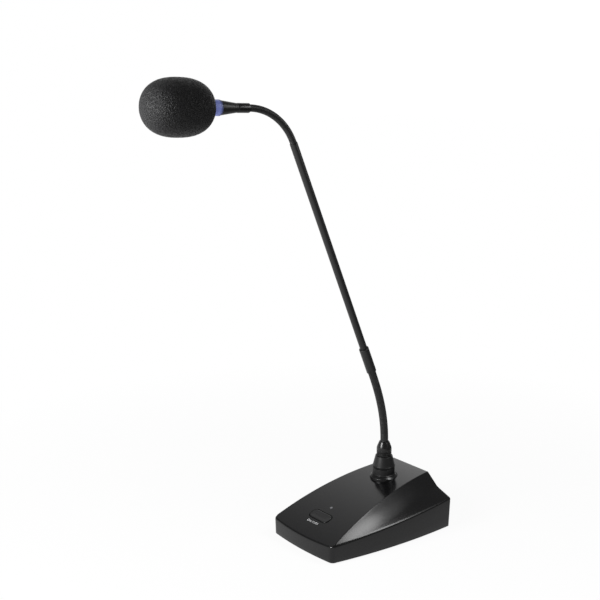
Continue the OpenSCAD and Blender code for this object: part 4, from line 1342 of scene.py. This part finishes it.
def wound_tree():
    """Geometry nodes that wind a grooved tube along a curve."""
    found = bpy.data.node_groups.get("Wound neck")
    if found:
        return found
    tree = bpy.data.node_groups.new("Wound neck", "GeometryNodeTree")
    face = tree.interface
    face.new_socket("Path", in_out="INPUT", socket_type="NodeSocketGeometry")
    for label, kind in (("Radius", FLOAT), ("Pitch", FLOAT), ("Groove", FLOAT), ("First turn", FLOAT),
                        ("Sides", "NodeSocketInt"), ("Finish", "NodeSocketMaterial")):
        face.new_socket(label, in_out="INPUT", socket_type=kind)
    face.new_socket("Mesh", in_out="OUTPUT", socket_type="NodeSocketGeometry")
    ins = add(tree, "NodeGroupInput").outputs

    def store(curve, name, output):
        """Keeps a spline's own measure on its points under a name."""
        value = add(tree, "GeometryNodeSplineParameter").outputs[output]
        inputs = {"Geometry": curve, "Name": name, "Value": value}
        return add(tree, "GeometryNodeStoreNamedAttribute", inputs, domain="POINT").outputs[0]

    def stored(name):
        return add(tree, "GeometryNodeInputNamedAttribute", {"Name": name}).outputs[0]

    level = add(tree, "GeometryNodeSetCurveNormal", {"Curve": ins["Path"], "Normal": (1, 0, 0)},
                mode="FREE")
    circle = add(tree, "GeometryNodeCurvePrimitiveCircle",
                 {"Resolution": ins["Sides"], "Radius": ins["Radius"]})
    tube = add(tree, "GeometryNodeCurveToMesh",
               {"Curve": store(level.outputs[0], "run", "Length"),
                "Profile Curve": store(circle.outputs[0], "round", "Factor"), "Fill Caps": True})
    turns = plus(tree, math_node(tree, "DIVIDE", stored("run"), ins["Pitch"]), ins["First turn"])
    phase = math_node(tree, "FRACT", minus(tree, turns, stored("round")))
    ridge = math_node(tree, "ABSOLUTE", minus(tree, times(tree, phase, 2.0), 1.0))
    sunk = times(tree, math_node(tree, "POWER", ridge, GROOVE_POWER), ins["Groove"])
    inward = times(tree, sunk, -1.0)
    normal = add(tree, "GeometryNodeInputNormal").outputs[0]
    push = add(tree, "ShaderNodeVectorMath", {0: normal, "Scale": inward}, operation="SCALE")
    grooved = add(tree, "GeometryNodeSetPosition", {"Geometry": tube.outputs[0], "Offset": push.outputs[0]})
    whole = add(tree, "GeometryNodeRealizeInstances", {0: grooved.outputs[0]})
    done = add(tree, "GeometryNodeSetMaterial", {"Geometry": whole.outputs[0], "Material": ins["Finish"]})
    add(tree, "NodeGroupOutput", {0: done.outputs[0]})
    return tree


def bend_points(a, b, c, count, first=0.0, last=1.0):
    """Points of the bend from a to c that leaves and arrives along its legs, which meet at b."""
    return [bezier(a, b, c, lerp(first, last, k / (count - 1))) for k in range(count)]


def polyline_length(points):
    return sum((q - p).length for p, q in zip(points, points[1:]))


class MIC_OT_neck(bpy.types.Operator):
    """Winds the two flexible stretches: one winding on no body at each sway joint, and two that meet on a
    ball at each bend joint
    """
    bl_idname = "mic.neck"
    bl_label = "Flexible stretches"

    def execute(self, context):
        sizes = context.scene.mic_neck
        material = finish("Wound neck coat", context.scene.mic_colours.neck, 0.5, grain=0.0003,
                          relief=0.012, dust=0.04)
        self.stretch("lower", LOWER, UP, STEM_AXIS, sizes.lower_diameter / 2, sizes, material,
                     "mic_plug", "stem")
        self.stretch("upper", UPPER, STEM_AXIS, HEAD_AXIS, sizes.upper_diameter / 2, sizes, material,
                     "stem", "head")
        return {"FINISHED"}

    def stretch(self, name, joints, first, last, radius, sizes, material, root, tip):
        """One stretch from the body at its root to the body at its tip, a winding for each joint."""
        half = (joints[1] - joints[0]).length / 2
        middles = [joints[0] - first * half]
        middles += [(p + q) / 2 for p, q in zip(joints, joints[1:])]
        middles.append(joints[-1] + last * half)
        bodies = [root] + [f"{name}_link_{i}" for i in range(1, LINKS)] + [tip]
        count = 2 + int(2 * half / sizes.pitch * POINTS_PER_TURN)
        turn = 0.0
        for i, joint in enumerate(joints):
            bend = (middles[i], joint, middles[i + 1])
            label = f"{name}_neck_{i + 1}"
            points = bend_points(*bend, count)
            length = polyline_length(points)
            node = f"{name}_neck_end" if i == LINKS - 1 else f"{name}_link_{i + 1}"
            if i % 2:
                mesh = self.wound(label, points, radius, turn, sizes, material)
                obj = piece(label, mesh, material, None, [node], sharp=60)
                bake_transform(obj)
            else:
                gap = sizes.knuckle / length
                low = bend_points(*bend, count, 0.0, 0.5 - gap)
                high = bend_points(*bend, count, 0.5 + gap, 1.0)
                onward = math.fmod(turn + (0.5 + gap) * length / sizes.pitch, 1.0)
                foot = [self.wound(label + "_foot", low, radius, turn, sizes, material),
                        self.ball(label + "_ball", bend, radius - sizes.groove / 2, sizes.sides)]
                piece(label + "_foot", joined(label + "_foot", foot), material, bodies[i],
                      [f"{name}_neck_root"] if i == 0 else [], sharp=60)
                mesh = self.wound(label, high, radius, onward, sizes, material)
                piece(label, mesh, material, bodies[i + 1], [node], sharp=60)
            turn = math.fmod(turn + length / sizes.pitch, 1.0)

    def ball(self, name, bend, radius, sides):
        """The ball on which the winding's two ends meet at a bend joint."""
        angles = np.linspace(0, math.pi, BALL_ROWS)
        profile = [(radius * math.sin(a), -radius * math.cos(a)) for a in angles]
        return turned_mesh(name, profile, axis_frame(bezier(*bend, 0.5), bend[2] - bend[0]), sides)

    def wound(self, name, points, radius, turn, sizes, material):
        """A winding along points that starts at a share of a turn."""
        curve = bpy.data.curves.new(name + "_path", "CURVE")
        curve.dimensions = "3D"
        spline = curve.splines.new("POLY")
        spline.points.add(len(points) - 1)
        for point, co in zip(spline.points, points):
            point.co = (co.x, co.y, co.z, 1)
        path = new_object(name + "_path", curve)
        modifier = path.modifiers.new("winding", "NODES")
        tree = wound_tree()
        modifier.node_group = tree
        values = {"Radius": radius, "Pitch": sizes.pitch, "Groove": sizes.groove, "First turn": turn,
                  "Sides": sizes.sides, "Finish": material}
        for item in tree.interface.items_tree:
            if item.in_out == "INPUT" and item.name in values:
                modifier[item.identifier] = values[item.name]
        mesh = evaluated_mesh(path, name)
        bpy.data.objects.remove(path)
        bpy.data.curves.remove(curve)
        return mesh


# Head

LEAD_BORE = 1.3 * MM
STEP_DOWN = 0.2 * MM
COLLAR_FOOT = 0.8 * MM
COLLAR_CHAMFER = 0.5 * MM
COLLAR_END = 2 * MM
TAPER_WALL = 0.9 * MM
RING_WALL = 0.9 * MM
RING_EDGE = 0.25 * MM
# Painted shade at the light ring's foot, next to the housing: where the ring starts and ends to brighten
# out of it, above its lower edge
RING_SHADE_FADE = (0.6 * MM, 2.4 * MM)


class MIC_OT_head(bpy.types.Operator):
    """Builds the head collar, the tapered housing and the light ring"""
    bl_idname = "mic.head"
    bl_label = "Head"

    def execute(self, context):
        scene = context.scene
        small = reach("head_collar", HEAD)[2] - STEP_DOWN
        self.collar(scene.mic_neck.upper_diameter / 2 + FIT, small)
        self.taper(small)
        self.ring(scene.mic_colours.glow)
        return {"FINISHED"}

    def turned(self, name, node, points, radii, material):
        mesh = rounded_turning(name, points, radii, HEAD)
        piece(name, mesh, material, "head", [node])

    def collar(self, neck_r, small):
        low, high, r = reach("head_collar", HEAD)
        inside = high - COLLAR_END
        points = [(neck_r, low), (r - COLLAR_CHAMFER, low), (r, low + COLLAR_FOOT),
                  (r, high - COLLAR_CHAMFER), (small, high), (LEAD_BORE, high), (LEAD_BORE, inside),
                  (neck_r, inside)]
        radii = [0, 0.25, 0.4, 0.3, 0.1, 0, 0, 0]
        self.turned("head_foot", "head_collar", points, radii, polished_finish())

    def taper(self, small):
        low, high, r = reach("head_housing", HEAD)
        inside = low + TAPER_WALL
        points = [(LEAD_BORE, low), (small, low), (r, high), (r - TAPER_WALL, high),
                  (small - TAPER_WALL, inside), (LEAD_BORE, inside)]
        self.turned("head_taper", "head_housing", points, [0, 0.25, 0.3, 0, 0, 0], stem_finish())

    def ring(self, colour):
        low, high, r = reach("light_ring", HEAD)
        mesh = tube_mesh("light_band", HEAD, r - RING_WALL, r, low, high, RING_EDGE)
        piece("light_band", mesh, self.glow(colour, low), "head", ["light_ring"])

    def glow(self, colour, low):
        """Frosted diffuser with painted shade that makes it dimmer towards the housing that covers its
        foot.
        """
        material, tree, shader = start_material("Frosted light ring")
        place = object_place(tree)
        pale = rgba([min(1.0, c * 1.35 + 0.03) for c in colour])
        lit = mix_colour(tree, clouds(tree, place, scale=160.0, detail=2.0), rgba(colour, 0.8), pale)
        start = HEAD.translation.dot(HEAD_AXIS) + low
        # Painted shade: colour and glow fall to a third at the ring's foot, next to the housing
        housing_shade = ranged(tree, how_far(tree, place, HEAD_AXIS), *[start + f for f in RING_SHADE_FADE])
        body = mix_colour(tree, housing_shade, rgba(colour, 0.3), lit)
        grain = add(tree, "ShaderNodeGroup", {"Size": 0.0003}, node_tree=surface_grain())
        feed(tree, shader, {"Base Color": body, "Emission Color": body, "Emission Strength": 0.3,
                            "Roughness": 0.4, "Normal": bumps(tree, grain.outputs["Height"], depth=0.01)})
        return material


# Windscreen

FOAM_SUBDIVISIONS = 7
BORE_SEGMENTS = 64
BORE_MOUTH = 2 * MM
BORE_END_GAP = 0.4 * MM
BORE_END_EDGE = 1.5 * MM
# Size of a pore of the finish, which holds painted shade, as a share of a cell of the form
PORE_SHARE = 0.7


class MIC_OT_windscreen(bpy.types.Operator):
    """Builds the foam windscreen with its open cells and its bore"""
    bl_idname = "mic.windscreen"
    bl_label = "Windscreen"

    def execute(self, context):
        sizes = context.scene.mic_foam
        start = reach("windscreen", HEAD)[1] - sizes.length
        work = bmesh.new()
        bmesh.ops.create_icosphere(work, subdivisions=FOAM_SUBDIVISIONS, radius=1.0)
        for vert in work.verts:
            vert.co = self.cell_point(vert.co.normalized(), start, sizes)
        mesh = bpy.data.meshes.new("foam_windscreen")
        work.to_mesh(mesh)
        work.free()
        bore_r = sizes.bore / 2
        mouth = start - BORE_MOUTH
        end = reach("grille_cap", HEAD)[1] + BORE_END_GAP
        profile = soften([(0, mouth), (bore_r, mouth), (bore_r, end), (0, end)], [0, 0, BORE_END_EDGE, 0])
        mesh = cut_mesh(mesh, [turned_mesh("bore", profile, HEAD, BORE_SEGMENTS)])
        material = self.foam(context.scene.mic_colours.foam, sizes)
        foam = piece("foam_windscreen", mesh, material, "windscreen", ["windscreen"], sharp=70)
        return {"FINISHED"}

    def cell_point(self, way, start, sizes):
        """Where a direction from the middle meets the foam's blunt oval, sunk into its cells."""
        power = 2 / sizes.blunt
        half = (sizes.diameter / 2, sizes.length / 2)
        parts = [abs(w) / h for w, h in zip((math.hypot(way.x, way.y), way.z), half)]
        far = (parts[0] ** power + parts[1] ** power) ** (-1 / power)
        point = Vector((0, 0, start + sizes.length / 2)) + way * far
        steep = [(p * far) ** (power - 1) / h for p, h in zip(parts, half)]
        round_way = Vector((way.x, way.y, 0)).normalized()
        out = (round_way * steep[0] + Vector((0, 0, math.copysign(steep[1], way.z)))).normalized()
        near = noise.voronoi(point / sizes.cell, distance_metric="DISTANCE")[0]
        pit = max(0.0, 1.0 - near[0] / sizes.pit)
        return HEAD @ (point - out * sizes.depth * pit)

    def foam(self, colour, sizes):
        """Painted shade in the pores, between paler strands, with knots in the strands."""
        material, tree, shader = start_material("Open-cell foam")
        place = object_place(tree)
        cells = add(tree, "ShaderNodeTexVoronoi", {"Vector": place, "Scale": 1 / (PORE_SHARE * sizes.cell)})
        # Painted shade: the colour falls to about a third towards each pore's middle; the strands between
        # are half again as pale
        rim = ranged(tree, cells.outputs["Distance"], 0.1, 0.7)
        body = mix_colour(tree, rim, rgba(colour, 0.35), rgba(colour, 1.5))
        faint = times(tree, clouds(tree, place, scale=90.0, detail=4.0), 0.35)
        faded = mix_colour(tree, faint, body, rgba(colour))
        relief = plus(tree, rim, times(tree, clouds(tree, place, scale=620.0, detail=3.0), 1.8))
        feed(tree, shader, {"Base Color": faded, "Normal": bumps(tree, relief, depth=0.3),
                            "Roughness": 0.42, "Specular IOR Level": 0.22})
        return material


# Underside

PAD_EDGE = 0.5 * MM
PAD_CORNER = 2.5 * MM
PAD_EDGE_STEPS = 4
PAD_HOLE_R = 3.4 * MM
PAD_HOLE_CUT = (-MM, 4 * MM)


class MIC_OT_underside(bpy.types.Operator):
    """Builds the ribbed rubber pad under the base"""
    bl_idname = "mic.underside"
    bl_label = "Underside"

    def execute(self, context):
        _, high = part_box("base_pad")
        form = CoverForm(context.scene.mic_cover)
        inset = float(form.side_x(np.array(form.sizes.length / 3))) - high.x
        corner = inset + PAD_CORNER
        loop = edge_loop(cover_edges(form, corner, corner))
        levels = [(inset + PAD_EDGE * (1 - s), PAD_EDGE * (1 - c)) for c, s in quarter(PAD_EDGE_STEPS)]
        levels.append((inset, high.z))
        rings = [[Vector((*(q[:2] - q[2:] * d), z)) for q in loop] for d, z in levels]
        mesh = cut_mesh(stacked_mesh("rubber_pad", rings), self.screw_holes())
        piece("rubber_pad", mesh, self.rubber(), "base", ["base_pad"])
        return {"FINISHED"}

    def screw_holes(self):
        """A cutter at each of the four plate screws."""
        points = node_points("plate_screws")
        middle = points[:, 1].mean()
        cutters = []
        for sx in (-1, 1):
            for sy in (-1, 1):
                near = points[(points[:, 0] * sx > 0) & ((points[:, 1] - middle) * sy > 0)]
                x, y = (near.min(0)[:2] + near.max(0)[:2]) / 2
                seat = axis_frame((x, y, 0), UP)
                cutters.append(drill("hole", seat, PAD_HOLE_R, *PAD_HOLE_CUT, SMALL_SEGMENTS))
        return cutters

    def rubber(self):
        material, tree, shader = start_material("Ribbed rubber")
        place = object_place(tree)
        ribs = add(tree, "ShaderNodeTexWave", {"Vector": place, "Scale": 60.0, "Distortion": 0.2},
                   bands_direction="DIAGONAL")
        dark, pale = (0.012, 0.012, 0.012, 1), (0.03, 0.03, 0.029, 1)
        body = mix_colour(tree, clouds(tree, place, scale=70.0, detail=4.0), dark, pale)
        relief = bumps(tree, ribs.outputs["Fac"], depth=0.2, strength=0.6)
        feed(tree, shader, {"Base Color": body, "Normal": relief, "Roughness": 0.8})
        return material


# Fittings that keep their CAD shape

class MIC_OT_fittings(bpy.types.Operator):
    """Gives the fittings that keep their CAD shape their finishes"""
    bl_idname = "mic.fittings"
    bl_label = "Fittings"

    def execute(self, context):
        coat = coat_finish()
        steel = finish("Screw steel", (0.30, 0.30, 0.31), 0.32, relief=0.01, metallic=1.0, dust=0.03)
        silver = finish("Plated contact", (0.62, 0.60, 0.55), 0.24, relief=0.005, metallic=1.0, dust=0.0)
        brass = finish("Brass", (0.55, 0.42, 0.20), 0.3, relief=0.008, metallic=1.0, dust=0.0)
        plate = finish("Coated steel plate", (0.022, 0.022, 0.023), 0.45, grain=0.0006, relief=0.02)
        iron = finish("Cast iron", (0.07, 0.07, 0.072), 0.6, grain=0.001, relief=0.08, dust=0.1)
        resin = finish("Connector resin", (0.02, 0.02, 0.022), 0.5, relief=0.01)
        white = finish("White board coat", (0.7, 0.7, 0.66), 0.5, relief=0.006, dust=0.0)
        ivory = finish("Plunger plastic", (0.5, 0.47, 0.42), 0.4, dust=0.0)
        tube = finish("Capsule tube metal", (0.05, 0.05, 0.052), 0.35, metallic=0.9, relief=0.01)
        gasket = finish("Gasket rubber", (0.015, 0.015, 0.015), 0.8)
        looks = {
            "bottom_plate": plate, "ballast": iron, "plate_screws": steel, "ballast_screws": steel,
            "circuit_board": self.laminate(), "board_screws": steel, "tact_switch": resin,
            "switch_plunger": ivory, "indicator_led": white, "socket_insert": resin,
            "socket_contacts": brass, "socket_screws": steel, "outlet_shell": coat, "outlet_insert": resin,
            "outlet_pins": silver, "outlet_screws": steel,
            "mic_wires": self.wire("Red wire", (0.35, 0.03, 0.03)),
            "output_wires": self.wire("Blue wire", (0.03, 0.08, 0.35)),
            "plug_insert": resin, "plug_pins": silver, "neck_collet": brass, "ring_board": white,
            "capsule_tube": tube, "capsule": silver, "capsule_gasket": gasket, "grille_cap": coat,
        }
        for node, material in looks.items():
            mesh = frame["nodes"][node].data
            mesh.materials.clear()
            mesh.materials.append(material)
        return {"FINISHED"}

    def laminate(self):
        """Green board with tracks under its mask."""
        material, tree, shader = start_material("Board laminate")
        tracks = add(tree, "ShaderNodeTexBrick",
                     {"Vector": object_place(tree), "Scale": 160.0, "Mortar Size": 0.08,
                      "Color1": (0.01, 0.07, 0.03, 1), "Color2": (0.012, 0.09, 0.035, 1),
                      "Mortar": (0.03, 0.16, 0.06, 1)}).outputs
        relief = bumps(tree, tracks["Fac"], depth=0.03, strength=0.4)
        feed(tree, shader, {"Base Color": tracks["Color"], "Normal": relief, "Roughness": 0.35})
        return material

    def wire(self, name, colour):
        return finish(name, colour, 0.45, grain=0.0003, relief=0.01, dust=0.05)


# Panel and registration

class MIC_PT_panel(bpy.types.Panel):
    """Lists the pieces, the sizes and the colours"""
    bl_idname = "MIC_PT_panel"
    bl_label = "Gooseneck microphone"
    bl_space_type = "VIEW_3D"
    bl_region_type = "UI"
    bl_category = "Microphone"

    def draw(self, context):
        for step in STEPS:
            self.layout.operator(step.bl_idname)
        for name in SETTINGS:
            box = self.layout.box()
            group = getattr(context.scene, name)
            for key in group.bl_rna.properties.keys():
                if key not in ("rna_type", "name"):
                    box.prop(group, key)


STEPS = (MIC_OT_stage, MIC_OT_cover, MIC_OT_button, MIC_OT_plug, MIC_OT_neck, MIC_OT_stem, MIC_OT_head,
         MIC_OT_windscreen, MIC_OT_underside, MIC_OT_fittings)
SETTINGS = {"mic_cover": MicCoverSizes, "mic_button": MicButtonSizes, "mic_neck": MicNeckSizes,
            "mic_foam": MicFoamSizes, "mic_colours": MicColours}


def register():
    for group in SETTINGS.values():
        bpy.utils.register_class(group)
    for step in STEPS:
        bpy.utils.register_class(step)
    bpy.utils.register_class(MIC_PT_panel)
    for name, group in SETTINGS.items():
        setattr(bpy.types.Scene, name, PointerProperty(type=group))


def unregister():
    for name in SETTINGS:
        delattr(bpy.types.Scene, name)
    bpy.utils.unregister_class(MIC_PT_panel)
    for step in reversed(STEPS):
        bpy.utils.unregister_class(step)
    for group in reversed(list(SETTINGS.values())):
        bpy.utils.unregister_class(group)


def main():
    register()
    for step in STEPS:
        group, name = step.bl_idname.split(".")
        getattr(getattr(bpy.ops, group), name)()


if __name__ == "__main__":
    main()
